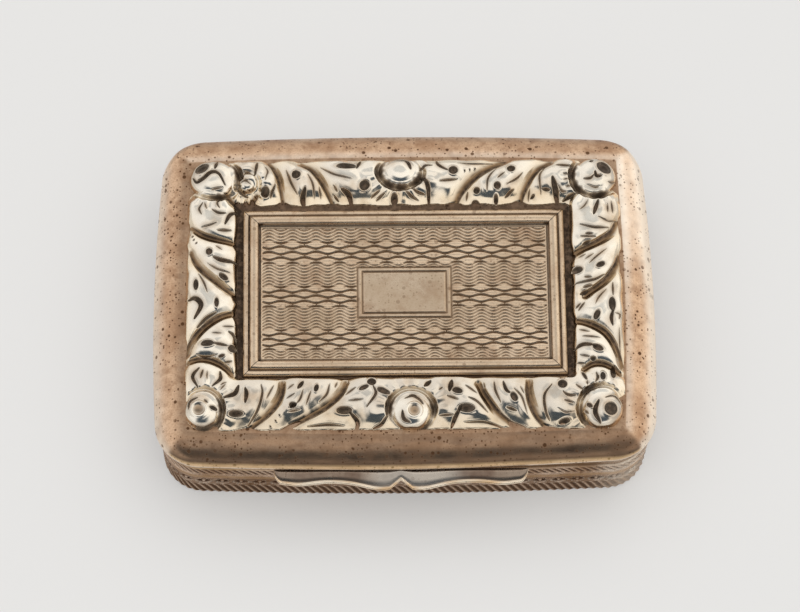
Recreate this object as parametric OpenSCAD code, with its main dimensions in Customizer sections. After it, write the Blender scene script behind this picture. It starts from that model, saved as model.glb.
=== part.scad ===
// Silver vinaigrette: a small hinged scent box with a pierced inner grille over a sponge.
// Millimetres. +Z is up, +Y is the hinge side, and the origin is the middle of the face it rests on.

/* [Case] */
// Width of the lid's rim, left to right
lid_w = 38; // [34:0.5:46]
// Depth of the lid's rim, front to back
lid_d = 26.8; // [25:0.2:34]
// Plan radius of the rim's corners
corner_r = 3.6; // [2.8:0.1:4.4]
// How far the rim and the walls bow out between the corners; the back wall stays straight for the hinge
side_bow = 0.36; // [0.2:0.02:0.5]
// How far the lid's rim stands out past the side walls
rim_overhang = 0.35; // [0.2:0.05:0.5]
// Thickness of the side walls
wall_t = 0.6; // [0.6:0.05:0.9]
// Thickness of the floor sheet
floor_t = 0.6; // [0.4:0.05:1]
// Height of the parting line above the table
seam_z = 4.4; // [4:0.1:6]

/* [Lid] */
// Height of the lid's side wall, from the parting line to the rim
band_h = 2.6; // [2.2:0.1:4]
// Thickness of the rim's upright edge
rim_t = 0.5; // [0.3:0.05:0.8]
// Plan width of the rounded edge between the rim and the flat top
cushion_w = 2.3; // [1.8:0.1:3]
// Rise of that rounded edge
cushion_h = 1.35; // [0.9:0.05:1.7]
// Thickness of the pressed lid sheet
cap_t = 0.6; // [0.4:0.05:0.8]

/* [Ornament] */
// Width of the cast leaf border
border_w = 3.9; // [3:0.1:4.2]
// Height of the leaf border above the lid's flat top
border_h = 1.1; // [0.7:0.05:1.5]
// Radius of the cast flower bosses
flower_r = 1.75; // [1.3:0.05:1.9]
// Height of the flower bosses above the lid's flat top
flower_h = 1.5; // [1.2:0.05:1.9]
// Radius of the channels that part the leaves
leaf_channel_r = 0.4; // [0.2:0.05:0.6]
// Distance from one leaf to the next along the border
leaf_pitch = 2.7; // [2:0.1:4]
// Slant of the leaves, in degrees from straight across the border
leaf_slant = 38; // [20:1:50]
// Plain channel between the leaf border and the moulding
channel_w = 0.4; // [0.2:0.05:0.8]
// Width of the reeded moulding round the panel
moulding_w = 1.1; // [0.8:0.05:1.4]
// Height of the moulding above the lid's flat top
moulding_h = 0.7; // [0.4:0.05:0.9]
// Groove between the moulding and the engine-turned panel
panel_gap = 0.25; // [0.1:0.05:0.4]
// Thickness of the engine-turned panel
panel_t = 0.35; // [0.2:0.05:0.5]
// Width of the blank cartouche on the panel
cartouche_w = 7.3; // [5:0.1:9]
// Depth of the blank cartouche, front to back
cartouche_d = 4.2; // [3:0.1:5]

/* [Thumbpiece] */
// Width of the thumbpiece
thumb_w = 19.4; // [14:0.2:24]
// Reach of the thumbpiece in front of the lid's wall
thumb_reach = 1.65; // [1.2:0.05:2.2]
// Thickness of the thumbpiece
thumb_t = 0.45; // [0.3:0.05:0.6]
// Downward slope of the thumbpiece, in degrees
thumb_slope = 25; // [10:1:35]

/* [Lid hinge] */
// Length of the lid's hinge
hinge_len = 25; // [18:0.5:26]
// Number of hinge barrels, base and lid together
hinge_barrels = 7; // [5:2:9]
// Outer radius of the hinge barrels
barrel_r = 0.7; // [0.5:0.05:0.75]
// Radius of the hinge pin
pin_r = 0.3; // [0.2:0.05:0.35]
// Distance of the hinge axis behind the back wall
hinge_standoff = 0.3; // [0.3:0.05:0.6]

/* [Bezel and grille] */
// Thickness of the bezel that the lid closes over
bezel_t = 0.45; // [0.3:0.05:0.6]
// How far the bezel rises above the parting line
bezel_rise = 1.1; // [0.8:0.05:1.6]
// Width of the ledge that carries the grille
ledge_w = 0.5; // [0.4:0.05:0.8]
// Thickness of the grille
grille_t = 0.45; // [0.3:0.05:0.45]
// Length of the grille's hinge
grille_hinge_len = 16; // [10:0.5:20]
// Number of grille hinge barrels, base and grille together
grille_barrels = 5; // [3:2:7]
// Outer radius of the grille's hinge barrels
grille_barrel_r = 0.5; // [0.4:0.02:0.55]
// Radius of the grille's hinge pin
grille_pin_r = 0.2; // [0.15:0.01:0.25]
// Length of the petal-shaped piercings
petal_len = 1.9; // [1.4:0.1:2.2]
// Width of the petal-shaped piercings
petal_w = 0.75; // [0.5:0.05:0.9]
// Distance between the pierced rosettes, left to right
rosette_pitch = 6.4; // [6:0.1:7]
// Distance between the two rows of rosettes
rosette_row_pitch = 7; // [6:0.1:7.5]
// Radius of the lift tab on the grille
tab_r = 1.3; // [0.9:0.1:1.8]
// Thickness of the lift tab
tab_t = 0.35; // [0.2:0.05:0.5]
// Free space between the sponge and the ledge round it
sponge_clear = 0.35; // [0.3:0.05:1]
// Free space between the sponge and the grille over it
sponge_headroom = 0.3; // [0.3:0.05:1]

/* [Hidden] */
$fn = 72;

// Gaps
seam_gap = 0.05;     // lid wall over base wall
lid_clear = 0.08;    // lid wall round the bezel
solder_gap = 0.02;   // curved faces that are soldered together
pin_clear = 0.03;    // pins in their barrels
hinge_clear = 0.1;   // barrels in the other half's notches
barrel_gap = 0.08;   // barrel end to barrel end
grille_clear = 0.15; // grille inside the bezel
rest_gap = 0.03;     // grille over its ledge
butt_gap = 0.03;     // castings and strips, end to end
thumb_drop = 0.15;   // top of the thumbpiece's root under the rim
over = 1;            // how far a cutter runs past what it cuts
bow_fn = 720;        // facets of the large circles that bow the sides

// Side walls, lid levels and ornament
band_w = lid_w - 2 * rim_overhang;
band_d = lid_d - 2 * rim_overhang;
band_r = corner_r - rim_overhang;
lid_z = seam_z + seam_gap;
rim_z = lid_z + band_h;
deck_z = rim_z + rim_t + cushion_h;
cushion_r = (pow(cushion_w, 2) + pow(cushion_h, 2)) / (2 * cushion_h);
border_x = lid_w - 2 * cushion_w;
border_y = lid_d - 2 * cushion_w;
moulding_x = border_x - 2 * (border_w + channel_w);
moulding_y = border_y - 2 * (border_w + channel_w);
panel_x = moulding_x - 2 * (moulding_w + panel_gap);
panel_y = moulding_y - 2 * (moulding_w + panel_gap);
side_rail_len = border_y - 2 * border_w;
half_rail_len = (border_x - 3 * border_w) / 2;
engraving_depth = 0.1;
engraving_w = 0.15;
cartouche_line_gap = 0.3;

// Lid hinge
hinge_y = band_d / 2 + hinge_standoff;
hinge_z = seam_z + seam_gap / 2;
barrel_pitch = hinge_len / hinge_barrels;

// Bezel, grille and sponge
bezel_in = wall_t + lid_clear;
ledge_z = seam_z - grille_t / 4;
bezel_top = seam_z + bezel_rise;
lip_in = bezel_in + bezel_t;
grille_z = ledge_z + rest_gap;
grille_y = band_d / 2 - lip_in - grille_clear - grille_barrel_r;
grille_axis_z = grille_z + grille_barrel_r;
grille_pitch = grille_hinge_len / grille_barrels;
grille_back = grille_y - grille_barrel_r - hinge_clear;
grille_front = -(band_d / 2 - lip_in - grille_clear);
grille_mid = (grille_back + grille_front) / 2;
sponge_in = lip_in + ledge_w + sponge_clear;
rosette_hole_r = 0.5;
rosette_petals = 8;
rosette_columns = 4;
petal_start = rosette_hole_r + 0.25;
dot_r = 0.35;
dot_edge = 1.5;
dot_pitch = 2.2;

silver = "silver";
aged_silver = "tan";
bright_silver = "gainsboro";
gilt = "goldenrod";

// Shapes that repeat

// Rectangle with round corners
module rounded_plan(w, d, r) {
    square([w - 2 * r, d], center = true);
    square([w, d - 2 * r], center = true);
    for (x = [-1, 1], y = [-1, 1])
        translate([x * (w / 2 - r), y * (d / 2 - r)]) circle(r);
}

// Radius of a low dome or arc of height h on a base of half-width half
function dome_r(half, h) = (pow(half, 2) + pow(h, 2)) / (2 * h);

// Low segment of a large circle on a front side of length len, at the given distance from the middle
module bow_side(len, at) {
    r = dome_r(len / 2, side_bow);
    intersection() {
        translate([0, r - at - side_bow]) circle(r, $fn = bow_fn);
        translate([-len / 2, -at - side_bow]) square([len, side_bow + over]);
    }
}

// Rectangle with round corners and bowed sides, w by d without the bows
module bowed_plan(w, d, r, bow_back) {
    rounded_plan(w, d, r);
    for (turn = bow_back ? [0, 180] : [0]) rotate(turn) bow_side(w - 2 * r, d / 2);
    for (turn = [-90, 90]) rotate(turn) bow_side(d - 2 * r, w / 2);
}

// Upright block on the plan of the side walls, taken in by inset all round
module case_block(inset, z0, z1) {
    translate([0, 0, z0])
        linear_extrude(z1 - z0)
            bowed_plan(band_w - 2 * inset, band_d - 2 * inset, band_r - inset, false);
}

// Ring of wall between two insets
module case_ring(inset, t, z0, z1) {
    difference() {
        case_block(inset, z0, z1);
        case_block(inset + t, z0 - over, z1 + over);
    }
}

// Rod along X, centred on x
module rod_x(x, y, z, r, len) {
    translate([x - len / 2, y, z]) rotate([0, 90, 0]) cylinder(r = r, h = len);
}

// Middle of one barrel in a row of count, and whether the fixed half owns it
function barrel_x(i, count, pitch) = (i - (count - 1) / 2) * pitch;
function fixed_barrel(i) = i % 2 == 0;

// The lid hinge's notches in one wall: close round its own barrels, clear of the other half's
module hinge_notches(of_base) {
    for (i = [0:hinge_barrels - 1])
        rod_x(barrel_x(i, hinge_barrels, barrel_pitch), hinge_y, hinge_z,
              barrel_r + (fixed_barrel(i) == of_base ? solder_gap : hinge_clear), barrel_pitch);
}

// Every other barrel of the lid hinge
module hinge_barrel_row(of_base) {
    for (i = [0:hinge_barrels - 1])
        if (fixed_barrel(i) == of_base)
            difference() {
                rod_x(barrel_x(i, hinge_barrels, barrel_pitch), hinge_y, hinge_z,
                      barrel_r, barrel_pitch - barrel_gap);
                rod_x(barrel_x(i, hinge_barrels, barrel_pitch), hinge_y, hinge_z,
                      pin_r + pin_clear, barrel_pitch + over);
            }
}

// Hinge pin with round ends
module hinge_pin(y, z, r, len) {
    rod_x(0, y, z, r, len);
    for (x = [-1, 1]) translate([x * len / 2, y, z]) sphere(r);
}

// Base

module base_floor() {
    color(silver) case_block(0, 0, floor_t);
}

module base_wall() {
    color(aged_silver)
        difference() {
            case_ring(0, wall_t, floor_t, seam_z);
            hinge_notches(true);
        }
}

module base_bezel() {
    color(gilt)
        union() {
            case_ring(bezel_in, bezel_t, floor_t, bezel_top);
            case_ring(bezel_in, bezel_t + ledge_w, floor_t, ledge_z);
        }
}

module base_hinge_barrels() {
    color(silver) hinge_barrel_row(true);
}

module lid_hinge_pin() {
    color(silver) hinge_pin(hinge_y, hinge_z, pin_r, hinge_len);
}

// Barrels of the grille's hinge that are soldered to the bezel
module grille_hinge_brackets() {
    bracket_y = band_d / 2 - lip_in - solder_gap;
    color(gilt)
        for (i = [0:grille_barrels - 1])
            if (fixed_barrel(i)) {
                x = barrel_x(i, grille_barrels, grille_pitch);
                len = grille_pitch - barrel_gap;
                difference() {
                    union() {
                        rod_x(x, grille_y, grille_axis_z, grille_barrel_r, len);
                        translate([x - len / 2, grille_y, grille_axis_z - grille_barrel_r / 2])
                            cube([len, bracket_y - grille_y, grille_barrel_r]);
                    }
                    rod_x(x, grille_y, grille_axis_z, grille_pin_r + pin_clear, len + over);
                }
            }
}

module grille_hinge_pin() {
    color(silver) hinge_pin(grille_y, grille_axis_z, grille_pin_r, grille_hinge_len);
}

module sponge() {
    color("khaki") case_block(sponge_in, floor_t, ledge_z - sponge_headroom);
}

// Lid shell

module lid_band() {
    color(aged_silver)
        difference() {
            case_ring(0, wall_t, lid_z, rim_z);
            hinge_notches(false);
        }
}

// Large disc with the lid's rounded edge, on a bowed front side as in bow_side, taken in by inset
module cushion_disc(len, at, inset) {
    r = dome_r(len / 2, side_bow);
    flat = r - cushion_w;
    translate([0, r - at - side_bow, 0])
        rotate_extrude($fn = bow_fn) {
            translate([0, rim_z - over]) square([flat, deck_z - inset - rim_z + over]);
            intersection() {
                translate([flat, deck_z - cushion_r]) circle(cushion_r - inset);
                translate([flat - over, rim_z - over]) square([cushion_r + over, deck_z]);
            }
        }
}

// Lid top with rounded edges that mitre at the corners, from z up
module cushion_block(inset, z) {
    intersection() {
        translate([0, 0, z])
            linear_extrude(deck_z)
                bowed_plan(lid_w - 2 * inset, lid_d - 2 * inset, corner_r - inset, true);
        cushion_disc(lid_w - 2 * corner_r, lid_d / 2, inset);
        rotate(180) cushion_disc(lid_w - 2 * corner_r, lid_d / 2, inset);
        rotate(90) cushion_disc(lid_d - 2 * corner_r, lid_w / 2, inset);
        rotate(-90) cushion_disc(lid_d - 2 * corner_r, lid_w / 2, inset);
    }
}

module lid_cap() {
    color(aged_silver)
        difference() {
            cushion_block(0, rim_z);
            intersection() {
                cushion_block(cap_t, rim_z - over);
                case_block(wall_t, rim_z - over, deck_z);
            }
        }
}

module lid_hinge_barrels() {
    color(silver) hinge_barrel_row(false);
}

// Reach of the thumbpiece at t, from 0 in the middle to 1 at its end
function thumb_edge(t) =
    thumb_reach * (0.66 + 0.34 * exp(-pow((t - 0.15) / 0.2, 2)) + 0.12 * exp(-pow((t - 0.8) / 0.13, 2))
                   - 0.32 * max(0, 1 - t / 0.09))
    * (t > 0.9 ? sqrt(max(0, 1 - pow((t - 0.9) / 0.1, 2))) : 1);

module thumbpiece() {
    steps = 40;
    root = 2 * thumb_t;
    edge = [for (i = [-steps:steps]) [thumb_w / 2 * i / steps, -thumb_edge(abs(i) / steps)]];
    color(silver)
        difference() {
            translate([0, -band_d / 2 - side_bow, rim_z - thumb_drop - thumb_t / 2])
                rotate([thumb_slope, 0, 0])
                    linear_extrude(thumb_t, center = true)
                        polygon(concat(edge, [[thumb_w / 2, root], [-thumb_w / 2, root]]));
            translate([-lid_w / 2, -band_d / 2 - side_bow - solder_gap, 0]) cube([lid_w, band_d, 2 * deck_z]);
        }
}

// Cast leaf border

// Length of leaf border along X with slanted channels, leaning one way or, if split, away from its middle
module leaf_rail(len, split) {
    r = dome_r(border_w / 2, border_h);
    count = floor(len / leaf_pitch);
    difference() {
        rotate([90, 0, 90])
            linear_extrude(len - 2 * butt_gap, center = true)
                intersection() {
                    translate([0, border_h - r]) circle(r);
                    translate([-border_w / 2, 0]) square([border_w, border_h]);
                }
        for (i = [0:count - 1]) {
            x = (i - (count - 1) / 2) * leaf_pitch;
            lean = split && x < 0 ? -leaf_slant : leaf_slant;
            translate([x, 0, border_h]) rotate([90, 0, lean])
                cylinder(r = leaf_channel_r, h = 2 * border_w, center = true);
        }
    }
}

module placed_rail(x, y, turn, len, split, flip) {
    color(bright_silver)
        translate([x, y, deck_z]) rotate(turn) mirror([flip ? 1 : 0, 0, 0]) leaf_rail(len, split);
}

rail_x = (border_w + half_rail_len) / 2;
rail_y = (border_y - border_w) / 2;
side_rail_x = (border_x - border_w) / 2;

module border_front_left() { placed_rail(-rail_x, -rail_y, 0, half_rail_len, false, true); }
module border_front_right() { placed_rail(rail_x, -rail_y, 0, half_rail_len, false, false); }
module border_back_left() { placed_rail(-rail_x, rail_y, 0, half_rail_len, false, false); }
module border_back_right() { placed_rail(rail_x, rail_y, 0, half_rail_len, false, true); }
module border_left() { placed_rail(-side_rail_x, 0, 90, side_rail_len, true, false); }
module border_right() { placed_rail(side_rail_x, 0, -90, side_rail_len, true, false); }

// Square casting: a flower boss with a spiral eye, in a ruff of leaves
module flower_casting(x, y) {
    ruff_h = border_h * 0.7;
    boss_r = dome_r(flower_r, flower_h - ruff_h);
    eye_r = flower_r * 0.3;
    ring_r = flower_r * 0.62;
    ruff_leaves = 12;
    side = border_w - 2 * butt_gap;
    color(bright_silver)
        translate([x, y, deck_z])
            difference() {
                union() {
                    linear_extrude(ruff_h) rounded_plan(side, side, side / 5);
                    intersection() {
                        translate([0, 0, flower_h - boss_r]) sphere(boss_r);
                        cylinder(r = flower_r, h = flower_h);
                    }
                }
                translate([0, 0, flower_h]) sphere(eye_r);
                translate([0, 0, ruff_h + (flower_h - ruff_h) * 0.75])
                    rotate_extrude() translate([ring_r, 0]) circle(leaf_channel_r / 3);
                for (i = [0:ruff_leaves - 1])
                    rotate(360 / ruff_leaves * (i + 0.5))
                        translate([flower_r, 0, ruff_h]) rotate([0, 90, 0])
                            cylinder(r = leaf_channel_r / 2, h = border_w);
            }
}

module corner_flower_front_left() { flower_casting(-side_rail_x, -rail_y); }
module corner_flower_front_right() { flower_casting(side_rail_x, -rail_y); }
module corner_flower_back_left() { flower_casting(-side_rail_x, rail_y); }
module corner_flower_back_right() { flower_casting(side_rail_x, rail_y); }
module centre_flower_front() { flower_casting(0, -rail_y); }
module centre_flower_back() { flower_casting(0, rail_y); }

// Reeded moulding in four mitred strips, and the panel inside it

// Section of the moulding, from its outer edge at 0 to its inner edge: a low shoulder and two reeds
module moulding_section() {
    reed_r = moulding_w / 4;
    square([moulding_w, moulding_h - reed_r]);
    for (k = [1, 3]) translate([k * reed_r, moulding_h - reed_r]) circle(reed_r);
}

// Strip of moulding along X, as long as len on its outer edge, mitred at both ends
module moulding_strip(len) {
    mitre = moulding_w;
    intersection() {
        rotate([90, 0, 90]) linear_extrude(len, center = true) moulding_section();
        linear_extrude(2 * moulding_h)
            polygon([[-len / 2 + butt_gap, 0], [len / 2 - butt_gap, 0],
                     [len / 2 - mitre - butt_gap, mitre], [-len / 2 + mitre + butt_gap, mitre]]);
    }
}

module placed_moulding(turn, distance, len) {
    color(silver) rotate(turn) translate([0, -distance, deck_z]) moulding_strip(len);
}

module moulding_front() { placed_moulding(0, moulding_y / 2, moulding_x); }
module moulding_right() { placed_moulding(90, moulding_x / 2, moulding_y); }
module moulding_back() { placed_moulding(180, moulding_y / 2, moulding_x); }
module moulding_left() { placed_moulding(-90, moulding_x / 2, moulding_y); }

// Engraved line round a rectangle
module engraved_line(w, d) {
    difference() {
        square([w, d], center = true);
        square([w - 2 * engraving_w, d - 2 * engraving_w], center = true);
    }
}

module engine_turned_panel() {
    color(aged_silver)
        translate([0, 0, deck_z])
            difference() {
                translate([-panel_x / 2, -panel_y / 2, 0]) cube([panel_x, panel_y, panel_t]);
                translate([0, 0, panel_t - engraving_depth])
                    linear_extrude(over) {
                        engraved_line(cartouche_w, cartouche_d);
                        engraved_line(cartouche_w - 2 * cartouche_line_gap - 2 * engraving_w,
                                      cartouche_d - 2 * cartouche_line_gap - 2 * engraving_w);
                    }
            }
}

// Grille

// Pointed petal along X, from the origin
module petal() {
    r = dome_r(petal_len / 2, petal_w / 2);
    translate([petal_len / 2, 0])
        intersection_for (side = [-1, 1]) translate([0, side * (r - petal_w / 2)]) circle(r);
}

// Pierced rosette: a round eye in a ring of petals
module rosette() {
    circle(rosette_hole_r);
    for (i = [0:rosette_petals - 1])
        rotate(360 / rosette_petals * i) translate([petal_start, 0]) petal();
}

// Round piercings between the rosettes and along both long edges
module grille_dots(half_w, half_d) {
    between = rosette_pitch * (rosette_columns - 1) / 2;
    for (x = [-between - rosette_pitch / 2:rosette_pitch:between + rosette_pitch / 2 + dot_r])
        translate([x, 0]) circle(dot_r);
    count = floor((half_w - dot_edge) / dot_pitch);
    for (i = [-count:count], side = [-1, 1])
        translate([i * dot_pitch, side * (half_d - dot_edge + dot_r)]) circle(dot_r);
}

module grille_plate() {
    w = band_w - 2 * (lip_in + grille_clear);
    d = grille_back - grille_front;
    r = band_r - lip_in - grille_clear;
    color(gilt)
        translate([0, grille_mid, grille_z])
            linear_extrude(grille_t)
                difference() {
                    rounded_plan(w, d, r);
                    for (i = [0:rosette_columns - 1], side = [-1, 1])
                        translate([(i - (rosette_columns - 1) / 2) * rosette_pitch, side * rosette_row_pitch / 2])
                            rosette();
                    grille_dots(w / 2, d / 2);
                }
}

// Barrels of the grille's hinge that are soldered to the grille's back edge
module grille_hinge_barrels() {
    color(gilt)
        for (i = [0:grille_barrels - 1])
            if (!fixed_barrel(i)) {
                x = barrel_x(i, grille_barrels, grille_pitch);
                len = grille_pitch - barrel_gap;
                difference() {
                    union() {
                        rod_x(x, grille_y, grille_axis_z, grille_barrel_r, len);
                        translate([x - len / 2, grille_back, grille_z])
                            cube([len, grille_y - grille_back, grille_t]);
                    }
                    rod_x(x, grille_y, grille_axis_z, grille_pin_r + pin_clear, len + over);
                }
            }
}

// Half-round tab on the grille's front edge
module grille_lift_tab() {
    color(gilt)
        translate([0, grille_front, grille_z + grille_t])
            intersection() {
                cylinder(r = tab_r, h = tab_t);
                translate([-tab_r, 0, 0]) cube([2 * tab_r, tab_r, tab_t]);
            }
}

base_floor();
base_wall();
base_bezel();
base_hinge_barrels();
lid_hinge_pin();
grille_hinge_brackets();
grille_hinge_pin();
sponge();
lid_band();
lid_cap();
lid_hinge_barrels();
thumbpiece();
border_front_left();
border_front_right();
border_back_left();
border_back_right();
border_left();
border_right();
corner_flower_front_left();
corner_flower_front_right();
corner_flower_back_left();
corner_flower_back_right();
centre_flower_front();
centre_flower_back();
moulding_front();
moulding_back();
moulding_left();
moulding_right();
engine_turned_panel();
grille_plate();
grille_hinge_barrels();
grille_lift_tab();
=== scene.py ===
"""Silver vinaigrette: the dressed model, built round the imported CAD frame. Sizes are in millimetres."""

import logging
import math
from dataclasses import dataclass, field
from enum import Enum
from typing import Sequence

import bmesh
import bpy
import numpy as np
from mathutils import Matrix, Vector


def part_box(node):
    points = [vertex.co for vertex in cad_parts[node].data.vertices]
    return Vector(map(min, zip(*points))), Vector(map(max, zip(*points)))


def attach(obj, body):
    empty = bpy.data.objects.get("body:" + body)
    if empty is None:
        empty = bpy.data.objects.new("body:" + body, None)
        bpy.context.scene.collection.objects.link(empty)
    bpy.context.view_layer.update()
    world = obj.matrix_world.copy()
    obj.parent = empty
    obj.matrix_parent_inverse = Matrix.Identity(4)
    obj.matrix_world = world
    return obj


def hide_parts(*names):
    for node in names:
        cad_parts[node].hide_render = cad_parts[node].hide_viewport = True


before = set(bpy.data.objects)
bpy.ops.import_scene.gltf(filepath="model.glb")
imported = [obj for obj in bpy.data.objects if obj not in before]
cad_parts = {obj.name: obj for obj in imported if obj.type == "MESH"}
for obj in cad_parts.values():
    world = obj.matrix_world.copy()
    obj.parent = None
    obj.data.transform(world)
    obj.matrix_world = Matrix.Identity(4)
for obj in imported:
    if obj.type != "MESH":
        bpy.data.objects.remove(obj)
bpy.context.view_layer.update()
LOG = logging.getLogger("vinaigrette")
MM = 0.001
# Points nearer than this, in millimetres, are welded
WELD = 0.0002
# Share of its width that the case gains for each millimetre towards the front
SPLAY = 0.0009

Point = tuple[float, float]
Colour = tuple[float, float, float]
Sides = tuple[float, float, float]


class Body(Enum):
    """Bodies of the frame that the new pieces ride on."""

    BASE = "base"
    LID = "lid"


class Slot(Enum):
    """Names of three material slots: the case, the cast ornament and the sponge."""

    CASE = "silver_case"
    CAST = "silver_cast"
    SPONGE = "sponge"


# Shader building


class Wire:
    """A value socket that turns Python arithmetic into Math nodes."""

    def __init__(self, graph: "Graph", socket: bpy.types.NodeSocket) -> None:
        """Keep the graph and the socket."""
        self.graph = graph
        self.socket = socket

    def _math(self, operation: str, first: "Wire | float", second: "Wire | float") -> "Wire":
        """Add one Math node.

        Args:
            operation: The Math node's operation.
            first: Left value.
            second: Right value.

        Returns:
            The node's result.
        """
        node = self.graph.node("ShaderNodeMath", {"operation": operation}, {0: first, 1: second})
        return Wire(self.graph, node.outputs[0])

    def __add__(self, other: "Wire | float") -> "Wire":
        """Sum."""
        return self._math("ADD", self, other)

    def __radd__(self, other: float) -> "Wire":
        """Sum with a number on the left."""
        return self._math("ADD", other, self)

    def __sub__(self, other: "Wire | float") -> "Wire":
        """Difference."""
        return self._math("SUBTRACT", self, other)

    def __rsub__(self, other: float) -> "Wire":
        """Difference from a number."""
        return self._math("SUBTRACT", other, self)

    def __mul__(self, other: "Wire | float") -> "Wire":
        """Product."""
        return self._math("MULTIPLY", self, other)

    def most(self, other: "Wire | float") -> "Wire":
        """Return the larger of two values."""
        return self._math("MAXIMUM", self, other)

    def ease(self, low: float, high: float) -> "Wire":
        """Return a smooth step from 0 at low to 1 at high."""
        node = self.graph.node(
            "ShaderNodeMapRange",
            {"interpolation_type": "SMOOTHSTEP"},
            {"Value": self, "From Min": low, "From Max": high},
        )
        return Wire(self.graph, node.outputs["Result"])


class Graph:
    """A node tree under construction."""

    def __init__(self, tree: bpy.types.NodeTree) -> None:
        """Empty the tree."""
        self.tree = tree
        tree.nodes.clear()

    def node(self, kind: str, settings: dict | None = None, sockets: dict | None = None) -> bpy.types.Node:
        """Add one node.

        Args:
            kind: The node's type.
            settings: Its properties, set first.
            sockets: Values or links of its inputs, by name or number.

        Returns:
            The new node.
        """
        node = self.tree.nodes.new(kind)
        for name, value in (settings or {}).items():
            setattr(node, name, value)
        for name, value in (sockets or {}).items():
            self.feed(node.inputs[name], value)
        return node

    def feed(self, target: bpy.types.NodeSocket, value: object) -> None:
        """Link a wire or socket to an input, or set the input's own value.

        Args:
            target: The input socket.
            value: A wire, a socket, a number or a colour.
        """
        if isinstance(value, Wire):
            self.tree.links.new(value.socket, target)
        elif isinstance(value, bpy.types.NodeSocket):
            self.tree.links.new(value, target)
        elif target.type == "RGBA":
            target.default_value = (*value, 1.0)
        else:
            target.default_value = value

    def place(self) -> bpy.types.NodeSocket:
        """Return the object coordinates."""
        return self.node("ShaderNodeTexCoord").outputs["Object"]

    def attribute(self, name: str) -> Wire:
        """Return a mesh attribute's value."""
        node = self.node("ShaderNodeAttribute", {"attribute_name": name})
        return Wire(self, node.outputs["Fac"])

    def noise(self, feature: float, detail: float = 3.0, stretch: Sequence[float] = (1, 1, 1)) -> Wire:
        """Return noise between 0 and 1.

        Args:
            feature: Size of one blot, in millimetres.
            detail: Octaves.
            stretch: How far blots are drawn out along each axis.

        Returns:
            The noise value.
        """
        scale = tuple(1.0 / (feature * MM * s) for s in stretch)
        mapped = self.node("ShaderNodeMapping", None, {"Vector": self.place(), "Scale": scale})
        node = self.node(
            "ShaderNodeTexNoise", None, {"Vector": mapped.outputs[0], "Scale": 1.0, "Detail": detail}
        )
        return Wire(self, node.outputs[0])

    def spots(self, spacing: float, bare: float, widest: float = 0.34) -> Wire:
        """Return round spots of uneven size, with soft edges.

        Args:
            spacing: Distance between spots, in millimetres.
            bare: Share of places without a spot.
            widest: Radius of the largest spot, as a share of the spacing.

        Returns:
            1 in a spot and 0 outside.
        """
        scale = 1.0 / (spacing * MM)
        node = self.node("ShaderNodeTexVoronoi", None, {"Vector": self.place(), "Scale": scale})
        split = self.node("ShaderNodeSeparateColor", None, {"Color": node.outputs["Color"]})
        size = Wire(self, split.outputs[0]).ease(bare, 1.0) * widest
        return (size - Wire(self, node.outputs["Distance"])).ease(-0.05, 0.1)

    def mix(self, factor: Wire | float, first: object, second: object) -> bpy.types.NodeSocket:
        """Blend two colours.

        Args:
            factor: 0 for the first, 1 for the second.
            first: Colour or socket.
            second: Colour or socket.

        Returns:
            The blended colour's socket.
        """
        node = self.node("ShaderNodeMix", {"data_type": "RGBA"}, {0: factor, 6: first, 7: second})
        return node.outputs[2]

    def bump(self, height: Wire, depth: float) -> bpy.types.NodeSocket:
        """Return a normal from a height.

        Args:
            height: Value from 0 to 1.
            depth: Millimetres that 1 stands for.

        Returns:
            The normal's socket.
        """
        node = self.node("ShaderNodeBump", None, {"Height": height, "Distance": depth * MM, "Strength": 1.0})
        return node.outputs[0]

    def principled(self, sockets: dict) -> bpy.types.NodeSocket:
        """Return a Principled shader with the given inputs."""
        return self.node("ShaderNodeBsdfPrincipled", None, sockets).outputs[0]


# Finishes


@dataclass(frozen=True)
class Finish:
    """A finish whose material is made once."""

    name: str

    def material(self) -> bpy.types.Material:
        """Return the material."""
        made = bpy.data.materials.get(self.name)
        if made is None:
            made = bpy.data.materials.new(self.name)
            made.use_nodes = True
            graph = Graph(made.node_tree)
            graph.node("ShaderNodeOutputMaterial", None, {"Surface": self.shader(graph)})
        return made

    def shader(self, graph: Graph) -> bpy.types.NodeSocket:
        """Return the finish's shader. Each kind of finish has its own."""
        raise NotImplementedError


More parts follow.
